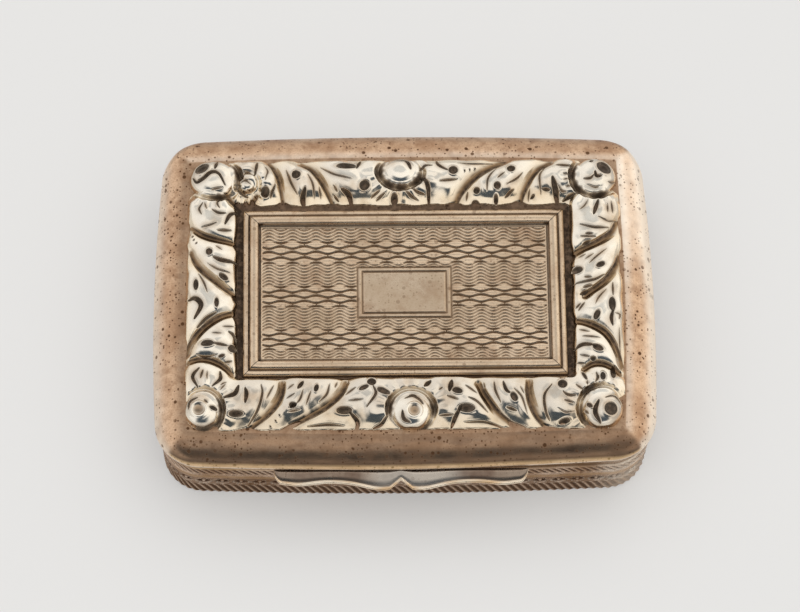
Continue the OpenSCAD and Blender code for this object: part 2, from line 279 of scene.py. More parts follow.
@dataclass(frozen=True)
class SilverFinish(Finish):
    """Old silver with clouds of tan tarnishing. The mesh says where it is brown, black, gilt or worn pale;
    the brown and the black also carry painted shade and shadow, and the pale carries painted sheen and
    highlights as well as wear.
    """

    bright: Colour
    tarnished: Colour
    cloud: float
    tarnish_low: float
    tarnish_high: float
    polish: float
    dullness: float
    speckle: float
    mottle: float = 0.0
    grain: float = 0.006
    stain: Colour = (0.32, 0.18, 0.10)
    groove: Colour = (0.34, 0.215, 0.105)
    deep_groove: Colour = (0.20, 0.12, 0.055)
    oxide_and_shade: Colour = (0.034, 0.023, 0.016)
    rust: Colour = (0.135, 0.09, 0.06)
    speck: Colour = (0.12, 0.06, 0.03)
    wear_and_sheen: Colour = (0.86, 0.77, 0.66)
    gilding: Colour = (0.80, 0.55, 0.24)
    glancing: Colour = (1.0, 1.0, 1.0)

    def shader(self, graph: Graph) -> bpy.types.NodeSocket:
        """Return old silver."""
        clouds = graph.noise(self.cloud, 3.0)
        fine = graph.noise(0.35, 4.0)
        veil = (clouds * 0.85 + fine * 0.15).ease(self.tarnish_low, self.tarnish_high)
        colour = graph.mix(veil, self.bright, self.tarnished)
        bloom = graph.noise(self.cloud * 0.45, 3.0, (1, 1, 2)).ease(0.52, 0.72)
        colour = graph.mix(bloom * self.mottle, colour, self.stain)
        blots = graph.noise(0.6, 4.0).ease(0.48, 0.75)
        colour = graph.mix(blots * (0.75 * self.mottle), colour, self.stain)
        pepper = graph.noise(0.13, 2.0).ease(0.44, 0.66)
        colour = graph.mix(pepper * (0.5 * self.mottle), colour, self.stain)
        patches = graph.noise(2.6, 3.0).ease(0.34, 0.52)
        specks = graph.spots(0.24, 0.1).most(graph.spots(0.5, 0.5)) * patches
        tarnish_and_shade = graph.attribute("tarnish_and_shade")
        oxide_and_shade = graph.attribute("oxide_and_shade")
        streaks = graph.noise(0.55, 4.0, (5, 1, 1)).ease(0.35, 0.7)
        # Brown where the mesh asks: tarnishing, and in places painted shade.
        colour = graph.mix(tarnish_and_shade, colour, graph.mix(streaks, self.groove, self.deep_groove))
        # Pale where the mesh asks: wear, and painted sheen and highlights.
        worn = (graph.attribute("wear_and_sheen") * (0.55 + graph.noise(0.9, 4.0))).ease(0.0, 1.0)
        colour = graph.mix(worn, colour, self.wear_and_sheen)
        specks = specks * (1.0 - worn * 0.4)
        colour = graph.mix(specks * self.speckle, colour, self.speck)
        # Black where the mesh asks: black patina in the hollows, and painted shadow.
        colour = graph.mix(oxide_and_shade, colour, graph.mix(fine.ease(0.42, 0.68), self.oxide_and_shade, self.rust))
        # Gold where the mesh asks: gilding, and on the border's low parts and the front rim a painted warm
        # reflection and highlight.
        colour = graph.mix(graph.attribute("gilt"), colour, self.gilding)
        scratches = graph.noise(0.12, 2.0, (9, 1, 1)) * 0.5 + graph.noise(0.1, 2.0, (1, 8, 1)) * 0.5
        rough = veil * self.dullness + self.polish + oxide_and_shade * 0.35 + specks * (0.2 * self.speckle)
        rough = rough + (scratches - 0.5) * 0.12
        height = scratches * 0.35 + fine * 0.65 - specks * self.speckle
        return graph.principled({
            "Base Color": colour,
            "Metallic": 1.0 - oxide_and_shade * 0.6,
            "Roughness": rough,
            "Specular IOR Level": 0.08,
            "Specular Tint": self.glancing,
            "Normal": graph.bump(height, self.grain),
        })


@dataclass(frozen=True)
class GiltFinish(Finish):
    """Worn gilding over silver."""

    name: str = "worn_gilding"
    gold: Colour = (0.83, 0.57, 0.24)
    worn: Colour = (0.74, 0.64, 0.50)
    stain: Colour = (0.20, 0.11, 0.05)

    def shader(self, graph: Graph) -> bpy.types.NodeSocket:
        """Return gilding that is worn to silver in places, and stained."""
        wear = graph.noise(3.2, 4.0).ease(0.52, 0.72)
        stains = graph.noise(1.1, 5.0).ease(0.60, 0.76)
        fine = graph.noise(0.2, 3.0)
        colour = graph.mix(wear, self.gold, self.worn)
        return graph.principled({
            "Base Color": graph.mix(stains * 0.75, colour, self.stain),
            "Metallic": 1.0,
            "Roughness": stains * 0.25 + fine * 0.14 + 0.16,
            "Normal": graph.bump(fine, 0.008),
        })


@dataclass(frozen=True)
class SpongeFinish(Finish):
    """Dry natural sponge, browner in its pores."""

    name: str = "dry_sponge"
    pale: Colour = (0.62, 0.46, 0.25)
    deep: Colour = (0.20, 0.115, 0.05)

    def shader(self, graph: Graph) -> bpy.types.NodeSocket:
        """Return matt sponge."""
        grain = graph.noise(0.28, 4.0)
        shade = (graph.attribute("oxide_and_shade") * 0.8 + grain * 0.4).ease(0.15, 0.9)
        return graph.principled({
            "Base Color": graph.mix(shade, self.pale, self.deep),
            "Roughness": 0.95,
            "Normal": graph.bump(grain, 0.08),
        })


@dataclass(frozen=True)
class FloorFinish(Finish):
    """Pale matt floor with a painted light of its own, which lightens the shadows on it, so that it comes out
    as light as the photograph's.
    """

    name: str = "pale_floor"
    colour: Colour = (0.775, 0.775, 0.77)
    uneven: Colour = (0.7, 0.69, 0.68)
    painted_glow: Colour = (0.785, 0.775, 0.76)
    painted_glow_share: float = 0.31

    def shader(self, graph: Graph) -> bpy.types.NodeSocket:
        """Return the matt surface mixed with its painted light."""
        tone = graph.noise(60.0, 2.0) * 0.02
        matt = graph.principled({"Base Color": graph.mix(tone, self.colour, self.uneven), "Roughness": 0.9})
        # Painted light: the floor gives off light of its own, which lifts its shadows.
        painted_glow = graph.node("ShaderNodeEmission", None, {"Color": self.painted_glow, "Strength": 1.0})
        blend = graph.node("ShaderNodeMixShader", None, {0: self.painted_glow_share, 1: matt, 2: painted_glow.outputs[0]})
        return blend.outputs[0]


CASE_SILVER = SilverFinish(
    name="tarnished_case_silver",
    bright=(0.63, 0.425, 0.275),
    tarnished=(0.45, 0.27, 0.16),
    cloud=2.4,
    tarnish_low=0.38,
    tarnish_high=0.66,
    polish=0.32,
    dullness=0.14,
    speckle=1.0,
    mottle=0.8,
    groove=(0.235, 0.145, 0.088),
    deep_groove=(0.15, 0.098, 0.066),
    wear_and_sheen=(0.93, 0.80, 0.66),
)
BAND_SILVER = SilverFinish(
    name="rolled_band_silver",
    bright=(0.66, 0.49, 0.37),
    tarnished=(0.42, 0.265, 0.165),
    cloud=3.0,
    tarnish_low=0.42,
    tarnish_high=0.68,
    polish=0.2,
    dullness=0.12,
    speckle=0.5,
    mottle=0.3,
    groove=(0.10, 0.052, 0.032),
    deep_groove=(0.055, 0.03, 0.02),
    glancing=(0.70, 0.58, 0.50),
)
PANEL_SILVER = SilverFinish(
    name="warm_panel_silver",
    bright=(0.65, 0.505, 0.36),
    tarnished=(0.50, 0.375, 0.255),
    cloud=4.0,
    tarnish_low=0.35,
    tarnish_high=0.70,
    polish=0.24,
    dullness=0.12,
    speckle=0.4,
    mottle=0.35,
    groove=(0.17, 0.105, 0.06),
    deep_groove=(0.12, 0.072, 0.04),
)
CAST_SILVER = SilverFinish(
    name="bright_cast_silver",
    bright=(0.84, 0.775, 0.665),
    tarnished=(0.64, 0.53, 0.41),
    cloud=1.8,
    tarnish_low=0.43,
    tarnish_high=0.76,
    polish=0.16,
    dullness=0.10,
    speckle=0.0,
    groove=(0.25, 0.155, 0.08),
    deep_groove=(0.13, 0.08, 0.042),
)
HINGE_SILVER = SilverFinish(
    name="worn_hinge_silver",
    bright=(0.76, 0.70, 0.62),
    tarnished=(0.50, 0.38, 0.27),
    cloud=2.0,
    tarnish_low=0.42,
    tarnish_high=0.68,
    polish=0.22,
    dullness=0.15,
    speckle=0.3,
)
THUMB_SILVER = SilverFinish(
    name="rubbed_thumbpiece_silver",
    bright=(0.30, 0.23, 0.175),
    tarnished=(0.19, 0.125, 0.09),
    cloud=3.4,
    tarnish_low=0.40,
    tarnish_high=0.66,
    polish=0.24,
    dullness=0.12,
    speckle=0.3,
    grain=0.003,
    groove=(0.88, 0.76, 0.60),
    deep_groove=(0.66, 0.45, 0.26),
    wear_and_sheen=(0.46, 0.405, 0.345),
)
GILDING = GiltFinish()


# Mesh building


def ramp(low: float, high: float, value: np.ndarray) -> np.ndarray:
    """Return a smooth step from 0 at low to 1 at high.

    Args:
        low: Where the step starts.
        high: Where it ends.
        value: Values to step.

    Returns:
        Stepped values.
    """
    t = np.clip((value - low) / (high - low), 0.0, 1.0)
    return t * t * (3.0 - 2.0 * t)


def unevenness(x: np.ndarray, y: np.ndarray, length: float) -> np.ndarray:
    """Return slow waves between about -1 and 1, like hand-worked metal.

    Args:
        x: First coordinate.
        y: Second coordinate.
        length: Length of the waves.

    Returns:
        The waves' height.
    """
    a, b = x / length, y / length
    waves = np.sin(a * 5.1 + 1.3 * np.sin(b * 3.7 + 0.6)) + np.sin(b * 5.7 + 1.7 * np.sin(a * 2.9 + 2.1))
    return (waves + 0.7 * np.sin((a + b) * 9.1 + 0.4) + 0.6 * np.sin((a - b) * 11.3)) / 3.0


def finish_mesh(work: bmesh.types.BMesh, name: str) -> bpy.types.Object:
    """Turn a bmesh in millimetres into a smooth object in metres.

    Args:
        work: The mesh, which is freed.
        name: The object's name.

    Returns:
        The object, linked to the scene.
    """
    bmesh.ops.scale(work, vec=(MM, MM, MM), verts=work.verts)
    mesh = bpy.data.meshes.new(name)
    for face in work.faces:
        face.smooth = True
    work.to_mesh(mesh)
    work.free()
    made = bpy.data.objects.new(name, mesh)
    bpy.context.collection.objects.link(made)
    return made


@dataclass
class Surface:
    """Points in rows and columns, with the stains at each."""

    points: np.ndarray
    stains: dict[str, np.ndarray] = field(default_factory=dict)

    def grid(self) -> bmesh.types.BMesh:
        """Return a grid moved to the points, with the stains as vertex layers."""
        columns, rows = self.points.shape[:2]
        work = bmesh.new()
        bmesh.ops.create_grid(work, x_segments=columns - 1, y_segments=rows - 1, size=1.0)
        layers = [(work.verts.layers.float.new(name), values) for name, values in self.stains.items()]
        for vert in work.verts:
            i = round((vert.co.x + 1.0) / 2.0 * (columns - 1))
            j = round((vert.co.y + 1.0) / 2.0 * (rows - 1))
            vert.co = self.points[i, j]
            for layer, values in layers:
                vert[layer] = values[i, j]
        return work

    def slab(self, name: str, bottom: float) -> bpy.types.Object:
        """Make a solid slab under the surface.

        Args:
            name: The object's name.
            bottom: Height of the flat underside.

        Returns:
            The object.
        """
        work = self.grid()
        rim = [edge for edge in work.edges if edge.is_boundary]
        for edge in rim:
            edge.smooth = False
        new = bmesh.ops.extrude_edge_only(work, edges=rim)["geom"]
        for vert in (item for item in new if isinstance(item, bmesh.types.BMVert)):
            vert.co.z = bottom
        low = [item for item in new if isinstance(item, bmesh.types.BMEdge) and item.is_boundary]
        bmesh.ops.edgeloop_fill(work, edges=low)
        bmesh.ops.recalc_face_normals(work, faces=work.faces)
        return finish_mesh(work, name)

    def tube(self, name: str) -> bpy.types.Object:
        """Weld the surface into a closed body, and fill any open ends.

        Args:
            name: The object's name.

        Returns:
            The object.
        """
        work = self.grid()
        bmesh.ops.remove_doubles(work, verts=work.verts, dist=WELD)
        bmesh.ops.dissolve_degenerate(work, edges=work.edges, dist=WELD / 2)
        rim = [edge for edge in work.edges if edge.is_boundary]
        if rim:
            bmesh.ops.edgeloop_fill(work, edges=rim)
        bmesh.ops.recalc_face_normals(work, faces=work.faces)
        return finish_mesh(work, name)


@dataclass(frozen=True)
class RoundedPlan:
    """A rectangle with round corners and bowed sides, walked anticlockwise from its back right corner."""

    half_x: float
    half_y: float
    radius: float
    bow: float = 0.0
    back_bow: float = 0.0

    def walk(self, place: np.ndarray) -> tuple[np.ndarray, np.ndarray]:
        """Find points and outward directions on the outline.

        Args:
            place: Position from 0 to 8: even spans are sides, odd spans are corners.

        Returns:
            Points and outward directions, as rows of two.
        """
        part = np.minimum(np.floor(place).astype(int), 7)
        along = place - part
        flat_x, flat_y = self.half_x - self.radius, self.half_y - self.radius
        turn = part // 2
        start = np.array([[flat_x, self.half_y], [-self.half_x, flat_y],
                          [-flat_x, -self.half_y], [self.half_x, -flat_y]])
        step = np.array([[-2 * flat_x, 0], [0, -2 * flat_y], [2 * flat_x, 0], [0, 2 * flat_y]])
        centre = np.array([[-flat_x, flat_y], [-flat_x, -flat_y], [flat_x, -flat_y], [flat_x, flat_y]])
        corner = part % 2 == 1
        angle = np.radians(90.0 + 90.0 * turn + np.where(corner, 90.0 * along, 0.0))
        outward = np.stack([np.cos(angle), np.sin(angle)], axis=-1)
        swell = np.array([self.back_bow, self.bow, self.bow, self.bow])[turn]
        rise = swell * (1.0 - (2.0 * along - 1.0) ** 2)
        lean = 4.0 * swell * (2.0 * along - 1.0) / np.linalg.norm(step, axis=1)[turn]
        side = start[turn] + step[turn] * along[:, None] + outward * rise[:, None]
        bend = centre[turn] + self.radius * outward
        forward = np.stack([-outward[:, 1], outward[:, 0]], axis=-1)
        normal = outward + forward * np.where(corner, 0.0, lean)[:, None]
        normal = normal / np.linalg.norm(normal, axis=1)[:, None]
        return np.where(corner[:, None], bend, side), normal

    def lengths(self) -> np.ndarray:
        """Return the lengths of the eight spans."""
        flat_x, flat_y = 2 * (self.half_x - self.radius), 2 * (self.half_y - self.radius)
        bend = self.radius * math.pi / 2
        return np.array([flat_x, bend, flat_y, bend, flat_x, bend, flat_y, bend])

    def even(self, count: int) -> tuple[np.ndarray, np.ndarray]:
        """Spread places evenly by length.

        Args:
            count: Number of steps round the outline.

        Returns:
            Places from 0 to 8, and the length walked to each, with the start repeated at the end.
        """
        ends = np.concatenate([[0.0], np.cumsum(self.lengths())])
        walked = np.linspace(0.0, ends[-1], count + 1)
        return np.interp(walked, ends, np.arange(9.0)), walked


def splay(points: np.ndarray, share: np.ndarray) -> None:
    """Widen points to the front and narrow them to the back, as the hand-made case is.

    Args:
        points: Points to move, changed in place.
        share: How far each takes part, from 0 to 1.
    """
    points[..., 0] *= 1.0 - SPLAY * share * points[..., 1]


def wear(piece: bpy.types.Object, finish: Finish) -> None:
    """Give a piece its finish.

    Args:
        piece: The object.
        finish: The finish that makes its material.
    """
    piece.data.materials.clear()
    piece.data.materials.append(finish.material())


def seat(piece: bpy.types.Object, body: Body, node: str) -> None:
    """Put a piece on its body, in place of a CAD node.

    Args:
        piece: The object.
        body: The body that it rides on.
        node: The CAD node that it stands for.
    """
    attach(piece, body.value)
    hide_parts(node)
    LOG.info("%s rides on %s, %d faces", piece.name, body.value, len(piece.data.polygons))


# Leaf border


@dataclass(frozen=True)
class Stroke:
    """A chased line: its width, the points that it runs through, and its dark side (1 left, -1 right), where
    a channel gets its painted shadow.
    """

    width: float
    points: tuple[Point, ...]
    shade: float = 1.0

    def path(self) -> np.ndarray:
        """Return a smooth line through the points."""
        knots = np.array(self.points)
        knots = np.vstack([2 * knots[0] - knots[1], knots, 2 * knots[-1] - knots[-2]])
        t = np.linspace(0.0, 1.0, 7)[:, None]
        spans = []
        for a, b, c, d in zip(knots, knots[1:], knots[2:], knots[3:]):
            spans.append(0.5 * (2 * b + (c - a) * t + (2 * a - 5 * b + 4 * c - d) * t**2
                                + (3 * b - a - 3 * c + d) * t**3)[:-1])
        return np.vstack(spans + [knots[-2:-1]])

    def nearest(self, x: np.ndarray, y: np.ndarray) -> tuple[np.ndarray, np.ndarray, np.ndarray]:
        """Measure to the line.

        Args:
            x: Points' first coordinates.
            y: Points' second coordinates.

        Returns:
            Distance to the line, how far along it the nearest spot is, from 0 to 1, and 1 or -1 on the
            dark or the light side.
        """
        path = self.path()
        start, step = path[:-1], np.diff(path, axis=0)
        px, py = x[:, None] - start[:, 0], y[:, None] - start[:, 1]
        t = np.clip((px * step[:, 0] + py * step[:, 1]) / (step**2).sum(axis=1), 0.0, 1.0)
        away = np.hypot(px - t * step[:, 0], py - t * step[:, 1])
        best = away.argmin(axis=1)
        row = np.arange(len(x))
        side = np.sign(step[best, 0] * py[row, best] - step[best, 1] * px[row, best]) * self.shade
        return away[row, best], (best + t[row, best]) / len(start), side

    def close(self, x: np.ndarray, y: np.ndarray, reach: float) -> np.ndarray:
        """Return which points lie in the line's box, grown by reach."""
        low, high = self.path().min(axis=0) - reach, self.path().max(axis=0) + reach
        return (x > low[0]) & (x < high[0]) & (y > low[1]) & (y < high[1])


@dataclass(frozen=True)
class Pit:
    """A drilled or punched hollow: centre, half-sizes and turn in degrees."""

    x: float
    y: float
    half_x: float
    half_y: float
    turn: float = 0.0
    dished: bool = False

    def spread(self, x: np.ndarray, y: np.ndarray) -> np.ndarray:
        """Return 0 at the centre and 1 on the edge."""
        c, s = math.cos(math.radians(self.turn)), math.sin(math.radians(self.turn))
        u, v = x - self.x, y - self.y
        return np.hypot((u * c + v * s) / self.half_x, (v * c - u * s) / self.half_y)


@dataclass(frozen=True)
class Boss:
    """A flower's round middle: centre, half-sizes, height, the way to its leaves, and its dark sides.

    The dark sides, where a painted shadow lies in the ring round the middle, are angles in degrees from the
    right, anticlockwise.
    """

    x: float
    y: float
    half_x: float
    half_y: float
    height: float
    leaves: Point
    free: bool
    dark: tuple[float, ...]

    def spread(self, x: np.ndarray, y: np.ndarray) -> np.ndarray:
        """Return 0 at the centre and 1 on the edge."""
        return np.hypot((x - self.x) / self.half_x, (y - self.y) / self.half_y)

    def facing(self, x: np.ndarray, y: np.ndarray) -> np.ndarray:
        """Return 1 on the side of the leaves and -1 on the far side."""
        u, v = x - self.x, y - self.y
        return (u * self.leaves[0] + v * self.leaves[1]) / np.maximum(np.hypot(u, v), 0.01)


def line(width: float, *points: Point, shade: float = 1.0) -> Stroke:
    """Return a stroke."""
    return Stroke(width, points, shade)


@dataclass(frozen=True)
class Chasing:
    """What is cut into one casting."""

    channels: tuple[Stroke, ...] = ()
    grooves: tuple[Stroke, ...] = ()
    pits: tuple[Pit, ...] = ()


CHASING: tuple[Chasing, ...] = (
    # back rail, left half
    Chasing(
        channels=(
            line(0.32, (-10.4, 10.8), (-9.9, 10.2), (-9.5, 9.2), (-9.3, 7.4), shade=-1),
            line(0.36, (-7.9, 10.7), (-7, 10.2), (-6.2, 9.1), (-5.4, 7.3), shade=-1),
        ),
        grooves=(
            line(0.2, (-11.3, 10.8), (-11.5, 9.6)),
            line(0.1, (-10.7, 10.4), (-10.5, 9.9), (-10.7, 9.2)),
            line(0.16, (-9.9, 8.9), (-10.3, 7.9)),
            line(0.13, (-9.1, 10.1), (-8.7, 9), (-8.2, 8.1)),
            line(0.4, (-7.6, 8.6), (-7.8, 7.8), (-7.7, 7.2)),
            line(0.12, (-7.4, 9.7), (-7, 8.8), (-6.9, 7.8)),
            line(0.11, (-6.5, 8.7), (-6.4, 7.8)),
            line(0.13, (-6.4, 10.3), (-5.3, 9.6), (-4, 9.2)),
            line(0.22, (-3.6, 10.1), (-3.3, 10.9)),
            line(0.12, (-5.4, 8.8), (-5.1, 8.3)),
            line(0.12, (-5.4, 8.1), (-5, 7.6)),
            line(0.35, (-4.8, 8.5), (-4.2, 8), (-4, 7.2)),
            line(0.15, (-1.8, 8.4), (-2.5, 7.8)),
            line(0.15, (-1.4, 8.2), (-2.1, 7.6)),
        ),
        pits=(
            Pit(-10.7, 8.3, 0.33, 0.38),
            Pit(-8.3, 9.6, 0.34, 0.34),
            Pit(-4.4, 10.3, 0.8, 0.26),
            Pit(-3, 8.7, 0.36, 0.42, -40),
        ),
    ),
    # middle flower of the back rail
    Chasing(
        grooves=(
            line(0.2, (-1, 10.8), (-0.3, 10.8), (0.3, 10.6)),
            line(0.3, (0, 10.9), (0.4, 10.5), (0.6, 9.9)),
        ),
        pits=(Pit(-0.7, 7.7, 0.27, 0.43),),
    ),
    # back rail, right half
    Chasing(
        channels=(
            line(0.5, (7.9, 10.8), (6.6, 10.3), (5.3, 9.4), (4.4, 8.3), (3.9, 7.2)),
            line(0.4, (11.5, 10.7), (10.5, 10.2), (9.7, 9.2), (9.2, 8.1), (9, 7.2)),
        ),
        grooves=(
            line(0.15, (2.3, 10.4), (1.7, 10.3), (1.3, 9.9)),
            line(0.22, (2.6, 10.9), (2.8, 10.4), (3.5, 9.9)),
            line(0.3, (1.4, 9.4), (1.9, 8.7), (2, 7.2)),
            line(0.14, (0.6, 8.6), (1.1, 8.2), (1.7, 8)),
            line(0.14, (0.2, 8.3), (0.6, 7.9), (1.2, 7.6)),
            line(0.16, (2.8, 9), (4.2, 9.2)),
            line(0.09, (4.2, 10.6), (5.3, 10.5), (7, 10.6)),
            line(0.13, (7.2, 10.1), (6.6, 9.2), (6.5, 8.2)),
            line(0.11, (7.9, 9.7), (7.3, 9.2)),
            line(0.12, (5, 8.3), (4.9, 7.6)),
            line(0.17, (8.6, 8.4), (7.9, 7.8)),
            line(0.11, (9.3, 9.7), (8.8, 9.2), (8, 8.7)),
            line(0.13, (11, 10.2), (10.6, 9.4), (10.7, 8)),
            line(0.2, (10.8, 8.4), (11.4, 8.3)),
            line(0.1, (9.8, 8.5), (9.7, 7.5)),
            line(0.2, (10.2, 8), (9.9, 7.7)),
            line(0.42, (11.6, 9.3), (11.8, 8.4), (12, 7.2)),
            line(0.12, (12, 8.7), (12.3, 8.2), (12.7, 8.1)),
            line(0.16, (11.9, 10.4), (13.1, 10.2)),
            line(0.08, (12.4, 9.5), (12.9, 9.5)),
            line(0.08, (12.4, 9), (12.9, 9.1)),
            line(0.08, (12.6, 8.5), (13.1, 8.6)),
        ),
        pits=(
            Pit(3.9, 9.9, 0.36, 0.33),
            Pit(8.4, 10, 0.31, 0.29),
            Pit(7.3, 8.6, 0.27, 0.27),
            Pit(5.7, 8.3, 0.24, 0.24),
            Pit(5.6, 7.3, 0.3, 0.28),
            Pit(7.2, 7.6, 0.17, 0.35),
            Pit(4.8, 9.9, 0.06, 0.1),
            Pit(5.2, 10, 0.06, 0.1),
            Pit(5.6, 10.1, 0.06, 0.1),
        ),
    ),
    # back corners
    Chasing(
        grooves=(
            line(0.22, (12.4, 7.5), (12.9, 7.8), (13.5, 8)),
            line(0.2, (14.5, 10.5), (14.8, 10.6)),
            line(0.17, (14, 9), (14.5, 9), (14.8, 9.3)),
            line(0.25, (14.9, 9.6), (15, 9.2), (15.4, 9.2)),
            line(0.12, (15.9, 8.8), (16.2, 8.8), (16.5, 9)),
            line(0.08, (14.3, 8.5), (14.9, 8.3), (15.2, 8.4)),
        ),
        pits=(Pit(15.6, 9.9, 0.63, 0.45, -40),),
    ),
    Chasing(
        channels=(line(0.4, (-13.6, 8.2), (-13.3, 7.7), (-12.6, 7.3), (-11.8, 7.6), (-11.4, 8.1), shade=-1),),
        grooves=(
            line(0.26, (-16.3, 9.4), (-16, 9), (-15.5, 9.2), (-14.9, 9.7), (-14.3, 9.6), (-13.8, 8.7)),
            line(0.22, (-14.4, 10.8), (-14.6, 10)),
            line(0.1, (-14.9, 8.3), (-14, 8.5)),
            line(0.12, (-12.6, 9.5), (-12.1, 9.8), (-11.6, 9.6)),
            line(0.1, (-12.6, 9), (-12.2, 9.1), (-11.8, 8.8)),
            line(0.16, (-12.9, 8.7), (-12.5, 8.2), (-12, 8)),
        ),
        pits=(Pit(-15.6, 10.1, 0.6, 0.42, 35),),
    ),
    # left rail
    Chasing(
        channels=(
            line(0.36, (-16.5, 5.4), (-15.6, 4.7), (-14.5, 4.3), (-13.1, 4)),
            line(0.4, (-16.4, 3.4), (-15.8, 2.3), (-14.6, 1.1), (-13, -0.2), shade=-1),
            line(0.42, (-13.1, -1.7), (-14.3, -2.2), (-15.4, -3), (-16.3, -4.1), (-16.7, -5), shade=-1),
            line(0.36, (-16.6, -5.7), (-15.4, -5.5), (-14.2, -5.9), (-13.2, -6.7)),
        ),
        grooves=(
            line(0.17, (-14.8, 6.7), (-14.3, 6.4), (-13.7, 6.4)),
            line(0.26, (-12.8, 6.6), (-13.4, 6.3), (-13.8, 5.5)),
            line(0.13, (-14.2, 7.7), (-14.4, 7.2), (-14.2, 6.8)),
            line(0.13, (-15.5, 7.3), (-15.8, 6.8), (-15.6, 6.3)),
            line(0.09, (-15.4, 7.3), (-15.2, 6.7)),
            line(0.09, (-15.6, 5.3), (-15, 5.4), (-14.4, 5.6)),
            line(0.16, (-14.4, 5), (-13.3, 5)),
            line(0.3, (-14.7, 2.8), (-14, 2.5), (-12.9, 2.4)),
            line(0.1, (-15.1, 2.3), (-14.3, 1.8), (-13.4, 1.5)),
            line(0.12, (-15.8, 1.5), (-15.4, 0.7), (-15.1, -0.2)),
            line(0.38, (-16.6, -0.6), (-16, -0.6), (-15.6, -1.2), (-16.1, -2.2)),
            line(0.2, (-14.4, -1.7), (-15.2, -2.2), (-15.9, -2.9)),
            line(0.08, (-14, -2.9), (-13, -2.9)),
            line(0.18, (-13.5, -3.3), (-13.1, -3.6), (-12.9, -4.1)),
            line(0.08, (-14.8, -3.4), (-14, -3.5)),
            line(0.18, (-14.7, -4.3), (-13.5, -4.5)),
            line(0.1, (-15.9, -5.1), (-15.3, -5.3), (-14.3, -5.2)),
            line(0.09, (-13.8, -5.8), (-13.2, -5.7)),
            line(0.08, (-14.5, 3.8), (-14, 3.4)),
        ),
        pits=(
            Pit(-15, 3.2, 0.25, 0.27),
            Pit(-13.9, 1.2, 0.4, 0.2, -35),
            Pit(-16, 0.5, 0.19, 0.45),
            Pit(-14.4, -1, 0.17, 0.36),
            Pit(-15.1, -4.3, 0.5, 0.26),
            Pit(-13.2, -4.7, 0.3, 0.3),
            Pit(-14, -5.3, 0.25, 0.12, 15),
            Pit(-16.3, 4.6, 0.06, 0.1, -45),
            Pit(-16.2, 4.3, 0.06, 0.1, -45),
            Pit(-16, 4, 0.06, 0.1, -45),
        ),
    ),
    # right rail
    Chasing(
        channels=(
            line(0.44, (16.6, 5.7), (16.1, 4.7), (15, 3.9), (13.1, 3), shade=-1),
            line(0.42, (16.7, 2.9), (16.3, 1.8), (15.4, 0.6), (13.9, -0.5), shade=-1),
            line(0.4, (13, -2.5), (14.2, -2.9), (15.3, -3.6), (16, -4.7), (16.5, -6.3)),
            line(0.34, (13.6, -6.5), (14.4, -6.1), (15.3, -6.2), (16.4, -6.9)),
        ),
        grooves=(
            line(0.28, (15.1, 7.3), (14.7, 6.1)),
            line(0.09, (15.8, 7), (15.8, 6.3)),
            line(0.11, (16.1, 7.2), (16.2, 6.3)),
            line(0.09, (14.3, 7.3), (14, 6.8), (13.6, 6.5)),
            line(0.1, (15, 5.9), (15.8, 5.6), (16.5, 5.8)),
            line(0.15, (13.6, 5.3), (14.7, 5), (15.9, 5.1)),
            line(0.15, (14, 4.5), (14.6, 4.5)),
            line(0.11, (13.6, 4.3), (14.8, 4.3)),
            line(0.2, (13.8, 3.7), (14.4, 4)),
            line(0.1, (15.6, 3.3), (14.8, 2.6), (14.2, 2)),
            line(0.08, (14.6, 2.9), (13.9, 2.4)),
            line(0.08, (14, 2.9), (13.4, 2.6)),
            line(0.15, (15.4, 1.2), (14.5, 0.7), (13, 0.4)),
            line(0.12, (13.8, 0.9), (14.4, 0.9)),
            line(0.15, (14.4, 0.3), (13.7, 0.1)),
            line(0.22, (14.1, -0.1), (13.5, -0.4)),
            line(0.12, (16, 0.6), (16, -0.6)),
            line(0.09, (15.5, 0), (14.9, -0.7), (14.6, -1.3)),
            line(0.24, (16, -1.7), (15.8, -2.4), (15.9, -3)),
            line(0.12, (16.1, -2), (16.5, -2.1), (16.4, -2.5)),
            line(0.09, (16.4, -3.1), (16.4, -5.2)),
            line(0.13, (13.5, -1.2), (13.1, -1.6)),
            line(0.13, (13.8, -1.1), (13.3, -1.8)),
            line(0.1, (13.3, -3.3), (14.1, -3.5)),
            line(0.1, (13.5, -3.9), (14.9, -4)),
            line(0.25, (12.9, -4.9), (13.6, -4.6), (14.6, -4.7)),
            line(0.09, (13.3, -5.4), (14.1, -5.6)),
            line(0.09, (13, -6), (13.7, -6.1)),
        ),
        pits=(
            Pit(13.3, 1.5, 0.42, 0.28, 10),
            Pit(15.1, 1.9, 0.36, 0.2, 25),
            Pit(15.9, -1.3, 0.26, 0.55),
            Pit(14.7, -2.2, 0.22, 0.38, -25),
            Pit(14.7, -4.9, 0.42, 0.25, -20),
            Pit(14.3, -5.7, 0.22, 0.15),
        ),
    ),
    # front corners
    Chasing(
        grooves=(
            line(0.24, (-15.7, -6.2), (-16.2, -6.9), (-15.8, -7.8)),
            line(0.14, (-15.4, -6.4), (-15.6, -7.1)),
            line(0.08, (-15.1, -6.5), (-15.1, -7.3)),
            line(0.24, (-14.1, -6.5), (-14.1, -7.2), (-14.7, -7.8)),
            line(0.08, (-13.6, -7.4), (-14.1, -7.7)),
            line(0.2, (-16.5, -9.6), (-16.4, -9), (-15.8, -8.7)),
            line(0.1, (-15.3, -8.9), (-15, -9.2)),
            line(0.2, (-16, -10.9), (-15.2, -11), (-14.3, -10.5)),
            line(0.33, (-12.7, -7.7), (-13, -8.4), (-13.8, -8.7)),
            line(0.08, (-14.1, -8.1), (-13.7, -7.6)),
            line(0.28, (-12.2, -7.9), (-12.1, -8.4), (-12.2, -9.1)),
        ),
        pits=(
            Pit(-15.7, -9.7, 0.5, 0.5, dished=True),
            Pit(-14.6, -9.6, 0.3, 0.17, -20),
            Pit(-12.9, -9.9, 0.55, 0.22),
        ),
